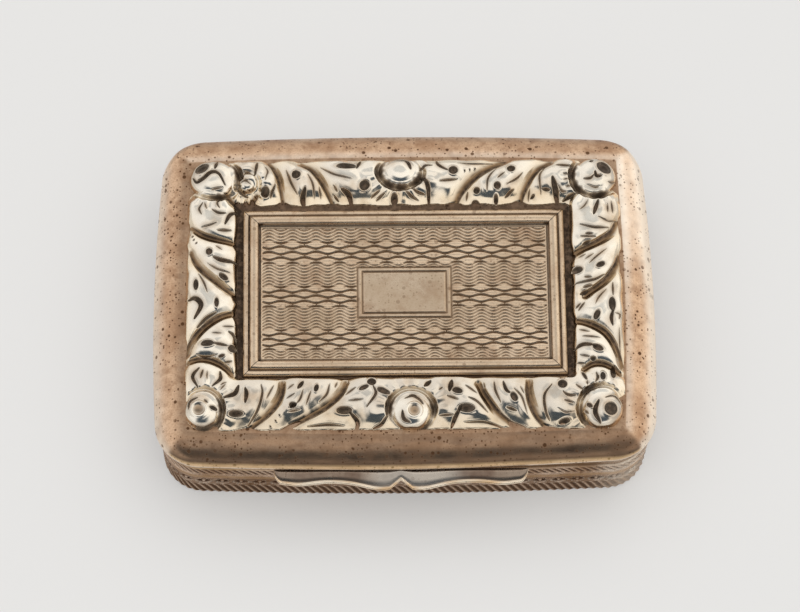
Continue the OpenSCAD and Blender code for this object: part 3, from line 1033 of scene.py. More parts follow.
    ),
    Chasing(
        grooves=(
            line(0.16, (11.9, -8.4), (12.3, -8.7), (12.9, -8.7)),
            line(0.12, (12, -9.1), (12.7, -9.3)),
            line(0.08, (11.5, -9.7), (12.1, -10), (12.8, -9.9)),
            line(0.17, (15.1, -9), (15.7, -8.8), (16.1, -9), (16.4, -9.5)),
            line(0.33, (14.6, -9.2), (14.3, -10.1), (14.7, -10.9)),
            line(0.1, (13.5, -9.9), (13.8, -10.2)),
            line(0.15, (14.5, -6.8), (14.6, -7.3), (14.4, -7.7)),
            line(0.1, (13.8, -7.5), (13.8, -7.9)),
            line(0.1, (12.9, -7.8), (13.5, -8.3)),
        ),
        pits=(
            Pit(11.9, -7.8, 0.35, 0.35),
            Pit(12, -10.6, 0.45, 0.2, 15),
            Pit(15.5, -9.9, 0.5, 0.5),
            Pit(13.9, -9.6, 0.26, 0.16, -40),
            Pit(15.8, -6.8, 0.2, 0.5),
            Pit(13.6, -7.1, 0.12, 0.4, 25),
            Pit(15, -7.2, 0.2, 0.35),
        ),
    ),
    # front rail, left half
    Chasing(
        channels=(
            line(0.42, (-9.4, -7.4), (-9.7, -8.6), (-10.6, -9.8), (-12.3, -11.2)),
            line(0.45, (-4.6, -7.4), (-5.2, -8.4), (-6.6, -9.5), (-8.8, -10.7)),
        ),
        grooves=(
            line(0.15, (-11, -7.6), (-10.9, -8.4), (-11.3, -9.7), (-12, -10.7)),
            line(0.08, (-10, -7.6), (-10.6, -8.8)),
            line(0.26, (-8.8, -9.5), (-8.3, -9.2)),
            line(0.08, (-9.1, -8.8), (-8.4, -8.4)),
            line(0.08, (-9, -8), (-8.5, -7.6)),
            line(0.1, (-9, -9.8), (-8, -9.6)),
            line(0.2, (-8, -10.4), (-9.6, -11.1)),
            line(0.28, (-7.8, -7.4), (-8.2, -8)),
            line(0.12, (-7.8, -8.1), (-8, -8.8), (-8.3, -9.2)),
            line(0.1, (-7.2, -8.2), (-7.6, -9.3)),
            line(0.13, (-5.8, -7.6), (-6, -8.4), (-6.6, -9)),
            line(0.08, (-5.2, -7.4), (-5.4, -7.9)),
            line(0.12, (-3.8, -7.9), (-4.6, -8.5)),
            line(0.18, (-2.5, -7.8), (-2.3, -8.5), (-3, -9.5)),
            line(0.1, (-4.4, -9), (-3.2, -8.9)),
            line(0.3, (-4.3, -9.8), (-3.7, -10.5), (-3.8, -11.2)),
            line(0.15, (-7.5, -10.8), (-6, -10.7), (-4.7, -10.8)),
        ),
        pits=(
            Pit(-6.8, -8, 0.17, 0.3, -15),
            Pit(-8.6, -9.3, 0.27, 0.2),
            Pit(-2.6, -7.5, 0.33, 0.3),
            Pit(-3.2, -8, 0.4, 0.18, 25),
            Pit(-4.7, -9.7, 0.6, 0.28),
            Pit(-1.7, -8.3, 0.55, 0.24, -25),
            Pit(-9.6, -10, 0.06, 0.1, 45),
            Pit(-9.9, -10.4, 0.06, 0.1, 45),
            Pit(-10.3, -10.8, 0.06, 0.1, 45),
        ),
    ),
    # middle flower of the front rail
    Chasing(
        grooves=(
            line(0.22, (-2.5, -11), (-1.9, -10.7), (-1.4, -10.1)),
            line(0.2, (-0.1, -8.9), (0.5, -8.7), (1, -9), (1.3, -9.4)),
            line(0.25, (-0.3, -9.9), (-0.2, -10.5), (0.3, -10.8)),
        ),
        pits=(Pit(0.6, -9.9, 0.48, 0.48, dished=True),),
    ),
    # front rail, right half
    Chasing(
        channels=(
            line(0.42, (5.5, -7.6), (6, -8.7), (7, -10), (8.3, -11)),
            line(0.42, (9.4, -7.4), (9.5, -8.7), (10, -10.1), (10.8, -11.1), shade=-1),
        ),
        grooves=(
            line(0.3, (1.4, -7.9), (1.9, -7.4)),
            line(0.1, (2.8, -8), (2.5, -8.2)),
            line(0.34, (3.5, -7.4), (3.3, -8.3)),
            line(0.12, (3.1, -8.7), (4, -9)),
            line(0.28, (4.2, -9.4), (3.7, -10.3), (3.4, -11)),
            line(0.12, (4.5, -7.8), (5.4, -8.4)),
            line(0.14, (4.7, -8.8), (5.4, -9.1), (6.2, -9.9)),
            line(0.08, (5.9, -7.5), (6, -8)),
            line(0.14, (6.7, -7.5), (6.8, -8.3), (7.2, -9.2)),
            line(0.24, (7.4, -7.5), (7.6, -8.2), (7.9, -8.5)),
            line(0.18, (7.6, -9.5), (8.4, -9.8)),
            line(0.15, (4.4, -10.6), (6, -10.6), (7.6, -11.1)),
            line(0.15, (2.5, -10.1), (3.6, -10.1)),
            line(0.12, (8.2, -8.1), (8.8, -8.8), (9.2, -10.1)),
            line(0.08, (8.7, -7.9), (9, -8.5)),
            line(0.17, (11.1, -7.8), (10.5, -8.7), (10.6, -9.9), (10.9, -10.5)),
            line(0.2, (7.8, -10.5), (9.2, -11.1)),
        ),
        pits=(
            Pit(3.9, -8.3, 0.4, 0.24, -15),
            Pit(4.6, -9.6, 0.65, 0.3, -5),
            Pit(8.2, -8.8, 0.25, 0.37, 30),
        ),
    ),
)


@dataclass
class Relief:
    """A surface in the making: plan points, with the height, the black and the brown at each; the black and
    the brown are patina, with painted shadow in places.
    """

    x: np.ndarray
    y: np.ndarray
    height: np.ndarray
    oxide_and_shade: np.ndarray
    tarnish_and_shade: np.ndarray


@dataclass
class LeafBorder:
    """Twelve castings that share one carved surface.

    frill, the feet, the shoulders and veil hold a value for the side rails, the back rail and the front rail.
    """

    deck: float = 8.9
    outer_x: float = 16.7
    outer_y: float = 11.1
    outer_r: float = 1.9
    inner_x: float = 12.8
    inner_y: float = 7.2
    inner_r: float = 0.25
    cell: float = 0.036
    rise: float = 1.1
    warm_reflection: float = 0.3
    crown: float = 1.5
    tallest: float = 1.435
    lobe: float = 1.25
    under: float = 0.12
    joint: float = 0.03
    petals: int = 17
    left_over: float = 0.25
    right_over: float = 0.15
    front_over: float = 0.3
    frill: Sides = (0.55, 1.0, 0.35)
    inner_foot: Sides = (0.05, 0.62, 0.04)
    inner_shoulder: Sides = (0.12, 0.40, 0.11)
    outer_foot: Sides = (0.1, 0.08, 0.58)
    outer_shoulder: Sides = (0.2, 0.22, 0.44)
    veil: Sides = (0.03, 0.1, 0.26)
    channel_reach: float = 2.0
    groove_reach: float = 0.7
    groove_depth: float = 0.32
    pit_reach: float = 1.6
    pit_depth: float = 0.4
    bosses: tuple[Boss, ...] = (
        Boss(-14.7, 9.4, 1.88, 1.58, 1.37, (0.7, -0.7), True, (10.0, -70.0)),
        Boss(14.9, 9.4, 1.68, 1.62, 1.37, (-0.7, -0.7), True, (170.0, 215.0, -80.0)),
        Boss(-15.45, -9.6, 1.4, 1.5, 1.34, (0.7, 0.7), True, (10.0, -30.0)),
        Boss(14.9, -9.6, 1.6, 1.55, 1.37, (-0.7, 0.7), True, (205.0, 125.0)),
        Boss(-0.2, 9.85, 1.55, 1.2, 1.35, (0.0, -1.0), False, (180.0, 230.0, -90.0, -30.0)),
        Boss(0.4, -9.7, 1.6, 1.5, 1.34, (0.0, 1.0), False, (5.0, 172.0, -50.0)),
        Boss(-12.1, 9, 0.75, 0.7, 1.0, (0.4, -0.9), False, ()),
    )

    def build(self) -> None:
        """Make and seat all the castings."""
        rails = ("border_front_left", "border_front_right", "border_back_left", "border_back_right",
                 "border_left", "border_right")
        flowers = ("corner_flower_front_left", "corner_flower_front_right", "corner_flower_back_left",
                   "corner_flower_back_right", "centre_flower_front", "centre_flower_back")
        for node in rails + flowers:
            piece = self.casting(node)
            wear(piece, CAST_SILVER)
            seat(piece, Body.LID, node)

    def casting(self, node: str) -> bpy.types.Object:
        """Make one casting over its CAD node's footprint.

        Args:
            node: The CAD node.

        Returns:
            The casting.
        """
        low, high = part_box(node)
        x0, y0 = (v / MM - self.joint for v in low[:2])
        x1, y1 = (v / MM + self.joint for v in high[:2])
        x0 = -self.outer_x - self.left_over if x0 < -self.outer_x else x0
        x1 = self.outer_x + self.right_over if x1 > self.outer_x else x1
        y0, y1 = max(y0, -self.outer_y), min(y1, self.outer_y)
        if y1 < 0 and max(abs(x0), abs(x1)) < self.inner_x + 0.1:
            y1 += self.front_over
        nx, ny = round((x1 - x0) / self.cell) + 1, round((y1 - y0) / self.cell) + 1
        x, y = np.meshgrid(np.linspace(x0, x1, nx), np.linspace(y0, y1, ny), indexing="ij")
        height, oxide_and_shade, tarnish_and_shade = (part.reshape(x.shape) for part in self.carve(x.ravel(), y.ravel()))
        # Gold tint on the border's low parts: a painted warm reflection of the case around it.
        foot = 1.0 - ramp(0.3, 0.85, height / self.rise)
        gilt = self.warm_reflection * foot * (1.0 - oxide_and_shade) * (1.0 - tarnish_and_shade)
        stains = {"oxide_and_shade": oxide_and_shade, "tarnish_and_shade": tarnish_and_shade, "gilt": gilt}
        surface = Surface(np.stack([x, y, self.deck + height], axis=-1), stains)
        return surface.slab(f"{node}_chased", self.deck - self.under)

    def ring(self, x: np.ndarray, y: np.ndarray) -> tuple[np.ndarray, np.ndarray]:
        """Measure to the border's outer and inner outlines.

        Args:
            x: Points' first coordinates.
            y: Points' second coordinates.

        Returns:
            Distance inside the outer outline and distance outside the inner one.
        """
        def signed(half_x: np.ndarray | float, half_y: np.ndarray | float, r: float) -> np.ndarray:
            """Return the distance outside a rounded rectangle."""
            qx, qy = np.abs(x) - half_x + r, np.abs(y) - half_y + r
            return np.hypot(np.maximum(qx, 0), np.maximum(qy, 0)) + np.minimum(np.maximum(qx, qy), 0) - r

        reach = self.outer_x + np.where(x < 0, self.left_over * (0.5 - 0.05 * y), self.right_over)
        inner = self.inner_y - np.where(y < 0, self.front_over, 0.0)
        return -signed(reach, self.outer_y, self.outer_r), signed(self.inner_x, inner, self.inner_r)

    def carve(self, x: np.ndarray, y: np.ndarray) -> tuple[np.ndarray, np.ndarray, np.ndarray]:
        """Work out the carved surface.

        Args:
            x: Points' first coordinates.
            y: Points' second coordinates.

        Returns:
            Height over the deck, and the black and the brown at each point: patina, with painted shadow in
            places.
        """
        outside, inside = self.ring(x, y)
        bulge = np.ones(x.shape)
        valley = np.full(x.shape, 9.0)
        core, dark, gold = np.zeros(x.shape), np.zeros(x.shape), np.zeros(x.shape)
        for stroke in (s for c in CHASING for s in c.channels):
            at = stroke.close(x, y, self.channel_reach)
            if not at.any():
                continue
            away, along, side = stroke.nearest(x[at], y[at])
            half = 0.8 * stroke.width * (0.6 + 0.4 * np.sin(np.pi * (0.1 + 0.8 * along)))
            lean = side * ramp(0.0, 0.15, along) * (1.0 - ramp(0.85, 1.0, along))
            across = lean * away / half
            climb = np.clip((away - half) / self.lobe, 0.0, 1.0)
            steep = np.sqrt(1.0 - (1.0 - climb) ** 2)
            gentle = 1.0 - (1.0 - np.clip(away / (half + self.lobe), 0.0, 1.0)) ** 1.7
            bulge[at] = np.minimum(bulge[at], gentle + (steep - gentle) * (0.5 + 0.5 * lean))
            valley[at] = np.minimum(valley[at], away - half)
            core[at] = np.maximum(core[at], np.clip(1.0 - (away / half) ** 2, 0.0, 1.0))
            sharp = 1.0 - ramp(0.8, 1.05, away / half)
            soft = 1.0 - ramp(0.2, 1.4, away / half)
            cover = np.where(across > 0.0, sharp, soft)
            # Painted shadow along each channel's dark side, under the overhanging leaf.
            shadow = sharp * ramp(-0.1, 0.6, across) * (0.65 + 0.35 * np.sin(np.pi * along))
            dark[at] = np.maximum(dark[at], shadow)
            gold[at] = np.maximum(gold[at], cover * (0.55 + 0.45 * ramp(-0.9, 0.1, across)))
        notch = np.exp(-(np.maximum(valley, 0.0) / 0.3) ** 2)
        scallop = 0.07 + 0.07 * np.sin(2.05 * (x + y) + 0.8 * np.sin(0.9 * (x - y)))
        frill = self.by_side(x, y, self.frill) * (0.2 * notch + scallop)
        slack = 1.0 + 1.1 * ramp(-0.25, 0.35, unevenness(x + 0.6 * y, 0.5 * y, 5.2))
        shoulder = slack * self.by_side(x, y, self.inner_shoulder)
        within = self.edge(inside - frill, self.by_side(x, y, self.inner_foot), shoulder)
        shoulder = slack * self.by_side(x, y, self.outer_shoulder)
        wave = 0.12 * notch + 0.4 * scallop
        beyond = self.edge(outside - wave, self.by_side(x, y, self.outer_foot), shoulder)
        roll = within * beyond
        height = self.rise * roll * (0.5 + 0.5 * bulge) - 0.14 * core * roll
        # Black: the channels' painted shadow, and a painted shadow line along the border's inner foot.
        oxide_and_shade = np.maximum(0.95 * dark, 0.9 * (1.0 - ramp(0.0, 0.14, within)))
        veil = self.by_side(x, y, self.veil)
        tarnish_and_shade = veil + (1.0 - veil) * np.maximum(gold, 0.35 * (1.0 - ramp(0.0, 0.6, bulge)))
        relief = Relief(x, y, height, oxide_and_shade, tarnish_and_shade)
        for boss in self.bosses:
            self.raise_boss(relief, boss)
        self.cut_lines(relief)
        self.sink_pits(relief)
        height = relief.height + 0.016 * unevenness(x, y, 2.4) + 0.004 * unevenness(y, x, 0.9)
        height = np.minimum(height, self.tallest)
        solid = ramp(0.03, 0.12, height) * ramp(0.0, 0.04, np.minimum(outside, inside))
        height = np.maximum(height, 0.0) * solid - 0.06 * (1.0 - solid)
        return height, np.clip(relief.oxide_and_shade, 0.0, 1.0), np.clip(relief.tarnish_and_shade, 0.0, 1.0)

    def raise_boss(self, relief: Relief, boss: Boss) -> None:
        """Raise a flower's middle out of its ruff of petals.

        Args:
            relief: The surface, changed in place.
            boss: The flower's middle.
        """
        x, y, height = relief.x, relief.y, relief.height
        spread = boss.spread(x, y)
        gap = (spread - 1.0) * min(boss.half_x, boss.half_y)
        facing = boss.facing(x, y)
        held = ramp(-0.35, 0.25, facing)
        ruff = ramp(0.15, 0.4, gap) * (1.0 - ramp(0.9, 1.3, gap)) * held
        angle = np.arctan2(y - boss.y, x - boss.x)
        height = height + 0.06 * ruff * np.cos(self.petals * angle)
        # sector marks the sides where the ring round the middle gets painted shadow, black and brown.
        sector = np.zeros(x.shape)
        for mark in boss.dark:
            off = (np.degrees(angle) - mark + 180.0) % 360.0 - 180.0
            sector = np.maximum(sector, np.exp(-((off / 30.0) ** 2)))
        moat = np.exp(-(((gap - 0.14) / 0.18) ** 2))
        height = height * (1.0 - moat * (0.2 + 0.15 * held + 0.3 * sector))
        if boss.free:
            height = height * (1.0 - (1.0 - held) * (1.0 - ramp(0.5, 1.0, gap)))
        reach = 0.17 + 0.2 * sector - 0.09 * np.cos(self.petals * angle)
        band = 1.0 - ramp(0.04, reach, np.abs(gap - 0.05))
        oxide_and_shade = np.maximum(relief.oxide_and_shade, 0.85 * sector * band)
        tarnish_and_shade = np.maximum(relief.tarnish_and_shade, (0.2 + 0.65 * sector) * band)
        dome = boss.height * np.clip(1.0 - spread**2.6, 0.0, 1.0) ** 0.45
        over = dome > height
        relief.oxide_and_shade = np.where(over, 0.0, oxide_and_shade)
        relief.tarnish_and_shade = np.where(over, 0.5 * ramp(0.93, 1.0, spread), tarnish_and_shade)
        relief.height = np.maximum(height, dome)

    def by_side(self, x: np.ndarray, y: np.ndarray, sides: Sides) -> np.ndarray:
        """Blend three values round the border.

        Args:
            x: Points' first coordinates.
            y: Points' second coordinates.
            sides: Values on the side rails, the back rail and the front rail.

        Returns:
            The value at each point.
        """
        beside, back, front = sides
        flank = ramp(-0.5, 0.5, np.abs(x) - self.inner_x - np.abs(y) + self.inner_y)
        return flank * beside + (1.0 - flank) * np.where(y > 0, back, front)

    def edge(self, away: np.ndarray, foot: np.ndarray, shoulder: np.ndarray) -> np.ndarray:
        """Return the rise of an edge: a flared foot, a steep shoulder, then a slow crown.

        Args:
            away: Distance from the outline.
            foot: Breadth of the foot.
            shoulder: Breadth of the shoulder.

        Returns:
            Share of the full height.
        """
        rise = 0.12 * np.clip(away / 0.05, 0.0, 1.0)
        shifts = (-0.08, 0.0, 0.08)
        for shift in shifts:
            low = np.clip((away + shift) / foot, 0.0, 1.0)
            high = np.clip((away + shift - foot) / shoulder, 0.0, 1.0)
            slow = 1.0 - (1.0 - np.clip((away + shift - foot - shoulder) / self.crown, 0.0, 1.0)) ** 2
            rise = rise + (0.24 * low + 0.34 * high + 0.30 * slow) / len(shifts)
        return rise

    def cut_lines(self, relief: Relief) -> None:
        """Cut the tapering grooves, with rounded shoulders.

        Args:
            relief: The surface, changed in place.
        """
        x, y, oxide_and_shade, tarnish_and_shade = relief.x, relief.y, relief.oxide_and_shade, relief.tarnish_and_shade
        cut = np.zeros(x.shape)
        for stroke in (s for c in CHASING for s in c.grooves):
            at = stroke.close(x, y, self.groove_reach)
            if not at.any():
                continue
            away, along, _ = stroke.nearest(x[at], y[at])
            swell = 0.35 + 0.65 * np.sin(np.pi * along) ** 0.7
            half = stroke.width / 2 * swell
            bite = np.clip(1.0 - (away / half) ** 2, 0.0, 1.0)
            depth = min(self.groove_depth, 0.04 + 0.8 * stroke.width)
            fall = np.clip(1.0 - (away - 0.5 * half) / 0.55, 0.0, 1.0)
            shoulder = 0.7 * depth * swell * (1.0 - np.sqrt(np.clip(1.0 - fall**2, 0.0, 1.0)))
            burr = 0.02 * swell * np.exp(-((away - half - 0.06) / 0.05) ** 2)
            cut[at] = np.maximum(cut[at], 0.6 * depth * bite**0.8 + shoulder) - burr
            oxide_and_shade[at] = np.maximum(oxide_and_shade[at], bite**0.8 * min(0.95, 0.4 + 2.2 * stroke.width))
            halo = np.exp(-np.maximum(away - half, 0.0) / 0.2)
            tarnish_and_shade[at] = np.maximum(tarnish_and_shade[at], 0.7 * swell * halo)
        relief.height = relief.height - cut

    def sink_pits(self, relief: Relief) -> None:
        """Sink the drilled hollows and shallow dishes, each with a slightly raised edge.

        Args:
            relief: The surface, changed in place.
        """
        x, y, height, oxide_and_shade, tarnish_and_shade = relief.x, relief.y, relief.height, relief.oxide_and_shade, relief.tarnish_and_shade
        for pit in (p for c in CHASING for p in c.pits):
            near = np.hypot(x - pit.x, y - pit.y) < self.pit_reach
            if not near.any():
                continue
            spread = pit.spread(x[near], y[near])
            hollow = np.clip(1.0 - spread**4, 0.0, 1.0)
            depth = min(self.pit_depth, 0.1 + 0.8 * min(pit.half_x, pit.half_y))
            lip = np.exp(-((spread - 1.2) / 0.22) ** 2)
            if pit.dished:
                height[near] += 0.10 * lip - 0.2 * np.clip(1.0 - spread**2, 0.0, 1.0)
                tarnish_and_shade[near] = np.maximum(tarnish_and_shade[near], 0.9 * hollow)
            else:
                height[near] += 0.06 * lip - depth * hollow
                light = np.clip((pit.y - y[near]) / pit.half_y, -1.0, 1.0)
                oxide_and_shade[near] = np.maximum(oxide_and_shade[near], hollow**0.5 * (0.93 - 0.07 * light))
                halo = np.exp(-np.maximum(spread - 1.1, 0.0) / 0.4)
                tarnish_and_shade[near] = np.maximum(tarnish_and_shade[near], 0.5 * halo)


# Panel and moulding


class Turning(Enum):
    """Kinds of engine-turned band."""

    WAVES = "waves"
    LOZENGES = "lozenges"


@dataclass(frozen=True)
class Band:
    """One engine-turned band, from its top line to its bottom line."""

    kind: Turning
    top: float
    bottom: float
    spaces: int


@dataclass
class EnginePanel:
    """Engine-turned panel with a plain cartouche.

    lines holds the insets of the two lines engraved round the cartouche. lens is a lozenge's half height,
    as a share of the space between lines.
    """

    node: str = "engine_turned_panel"
    wave_length: float = 1.81
    swing: float = 0.17
    cell_x: float = 0.075
    cell_y: float = 0.04
    relief: float = 0.135
    cartouche_x: float = 3.65
    cartouche_y: float = 2.12
    lines: Point = (0.05, 0.42)
    line_width: float = 0.17
    line_depth: float = 0.1
    lens: float = 0.64
    margin: float = 0.12
    bands: tuple[Band, ...] = (
        Band(Turning.WAVES, 5.32, 4.22, 4),
        Band(Turning.LOZENGES, 4.22, 2.38, 4),
        Band(Turning.WAVES, 2.38, 0.56, 7),
        Band(Turning.LOZENGES, 0.56, -1.18, 4),
        Band(Turning.WAVES, -1.18, -2.98, 7),
        Band(Turning.LOZENGES, -2.98, -4.68, 4),
        Band(Turning.WAVES, -4.68, -5.4, 3),
    )

    def build(self) -> None:
        """Make and seat the panel."""
        low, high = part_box(self.node)
        x0, y0, z0 = (v / MM for v in low)
        x1, y1, z1 = (v / MM for v in high)
        nx, ny = round((x1 - x0) / self.cell_x) + 1, round((y1 - y0) / self.cell_y) + 1
        x, y = np.meshgrid(np.linspace(x0, x1, nx), np.linspace(y0, y1, ny), indexing="ij")
        sunk, tarnish_and_shade = self.turn(x, y)
        edge = np.minimum(np.minimum(x - x0, x1 - x), np.minimum(y - y0, y1 - y))
        plain = 1.0 - ramp(self.margin * 0.6, self.margin, edge)
        sunk = sunk * (1.0 - plain)
        tarnish_and_shade = np.maximum(tarnish_and_shade * (1.0 - plain), 1.0 - ramp(0.0, 0.06, edge))
        sunk, tarnish_and_shade = self.engrave(x, y, sunk, tarnish_and_shade)
        z = z1 - sunk
        surface = Surface(np.stack([x, y, z], axis=-1), {"tarnish_and_shade": tarnish_and_shade, "oxide_and_shade": tarnish_and_shade * 0.12})
        piece = surface.slab("engine_turned_panel_cut", z0)
        wear(piece, PANEL_SILVER)
        seat(piece, Body.LID, self.node)

    def turn(self, x: np.ndarray, y: np.ndarray) -> tuple[np.ndarray, np.ndarray]:
        """Cut the wavy lines.

        Args:
            x: First coordinates.
            y: Second coordinates.

        Returns:
            Depth below the panel's top, and brown tarnish.
        """
        lift = np.zeros(x.shape)
        turn = np.pi * x / self.wave_length
        for band in self.bands:
            gap = (band.top - band.bottom) / band.spaces
            beyond = (y > band.top) | (y < band.bottom)
            for k in range(-1, band.spaces + 1):
                middle = band.top - gap * (k + 0.5)
                if band.kind is Turning.WAVES:
                    away = (y - middle - self.swing * np.sin(2 * turn)) / (0.5 * gap)
                else:
                    swell = np.abs(np.cos(turn - np.pi / 4 + k * np.pi / 2))
                    away = (y - middle) / (self.lens * gap * swell + 0.01)
                away = np.where(beyond, 1.0, away)
                lift = np.maximum(lift, np.clip(1.0 - away**2, 0.0, 1.0) ** 0.7)
        return self.relief * (1.0 - lift), 1.0 - ramp(0.1, 0.8, lift)

    def engrave(self, x: np.ndarray, y: np.ndarray, sunk: np.ndarray,
                tarnish_and_shade: np.ndarray) -> tuple[np.ndarray, np.ndarray]:
        """Leave the cartouche plain and cut the two lines round it.

        Args:
            x: First coordinates.
            y: Second coordinates.
            sunk: Depth so far.
            tarnish_and_shade: Tarnish so far.

        Returns:
            Depth and tarnish with the cartouche.
        """
        within = np.minimum(self.cartouche_x - np.abs(x), self.cartouche_y - np.abs(y))
        plain = ramp(-0.04, 0.02, within)
        sunk = sunk * (1.0 - plain) + 0.01 * plain
        tarnish_and_shade = tarnish_and_shade * (1.0 - plain)
        for place in self.lines:
            bite = np.exp(-((within - place) / (self.line_width / 2)) ** 2)
            sunk = np.maximum(sunk, self.line_depth * bite)
            tarnish_and_shade = np.maximum(tarnish_and_shade, bite)
        return sunk, tarnish_and_shade


@dataclass
class Moulding:
    """Four mitred strips with two reeds.

    slit_shade lists the sides in order, with how much of the section's black each has: painted shade, deepest
    in the left and right slits. section lists the points across a strip: place, height, brown and black; the
    black in the groove and at the foot is painted shade as well as patina.
    """

    outer_x: float = 12.4
    outer_y: float = 6.8
    gap: float = 0.03
    deck: float = 8.9
    cuts: int = 40
    crease: float = 50.0
    slit_shade: tuple[tuple[str, float], ...] = (("front", 0.4), ("right", 1.4), ("back", 0.2), ("left", 2.4))
    section: tuple[tuple[float, float, float, float], ...] = (
        (0.0, 0.0, 1.0, 1.0), (0.0, 0.28, 0.6, 0.5), (0.06, 0.42, 0.15, 0.0), (0.30, 0.50, 0.0, 0.0),
        (0.37, 0.49, 0.2, 0.0), (0.43, 0.41, 0.9, 0.4), (0.48, 0.41, 0.9, 0.4), (0.54, 0.55, 0.3, 0.0),
        (0.64, 0.66, 0.0, 0.0), (0.80, 0.70, 0.0, 0.0), (1.00, 0.69, 0.0, 0.0), (1.12, 0.63, 0.1, 0.0),
        (1.18, 0.52, 0.5, 0.1), (1.21, 0.42, 0.6, 0.3), (1.32, 0.36, 0.5, 0.4), (1.32, 0.0, 1.0, 1.0),
    )

    def build(self) -> None:
        """Make and seat the strips."""
        for quarter, (side, slit_shade) in enumerate(self.slit_shade):
            node = f"moulding_{side}"
            piece = self.strip(node, quarter, slit_shade)
            wear(piece, PANEL_SILVER)
            seat(piece, Body.LID, node)

    def strip(self, node: str, quarter: int, slit_shade: float) -> bpy.types.Object:
        """Extrude one strip, mitre its ends and put it in place.

        Args:
            node: The CAD node that it replaces.
            quarter: Quarter turns from the front, anticlockwise.
            slit_shade: How much of the section's black, painted shade, it has.

        Returns:
            The strip.
        """
        half, distance = self.outer_x, self.outer_y
        if quarter % 2:
            half, distance = distance, half
        work = bmesh.new()
        stain = work.verts.layers.float.new("tarnish_and_shade")
        dark = work.verts.layers.float.new("oxide_and_shade")
        verts = []
        for across, up, brown, black in self.section:
            vert = work.verts.new((-half, across, up))
            vert[stain] = brown
            vert[dark] = min(1.0, black * slit_shade)
            verts.append(vert)
        face = work.faces.new(verts)
        new = bmesh.ops.extrude_face_region(work, geom=[face])["geom"]
        moved = [item for item in new if isinstance(item, bmesh.types.BMVert)]
        bmesh.ops.translate(work, vec=(2 * half, 0, 0), verts=moved)
        for side in (-1, 1):
            cut = bmesh.ops.bisect_plane(
                work,
                geom=work.verts[:] + work.edges[:] + work.faces[:],
                plane_co=(side * (half - self.gap), 0, 0),
                plane_no=(side, 1, 0),
                clear_outer=True,
            )["geom_cut"]
            rim = [item for item in cut if isinstance(item, bmesh.types.BMEdge)]
            bmesh.ops.edgeloop_fill(work, edges=rim)
        long_edges = [edge for edge in work.edges if edge.calc_length() > half]
        bmesh.ops.subdivide_edges(work, edges=long_edges, cuts=self.cuts)
        bmesh.ops.recalc_face_normals(work, faces=work.faces)
        bmesh.ops.translate(work, vec=(0, -distance, self.deck), verts=work.verts)
        turn = Matrix.Rotation(math.radians(90.0 * quarter), 3, "Z")
        bmesh.ops.rotate(work, cent=(0, 0, 0), matrix=turn, verts=work.verts)
        piece = finish_mesh(work, f"{node}_reeded")
        piece.data.set_sharp_from_angle(angle=math.radians(self.crease))
        return piece


# Case


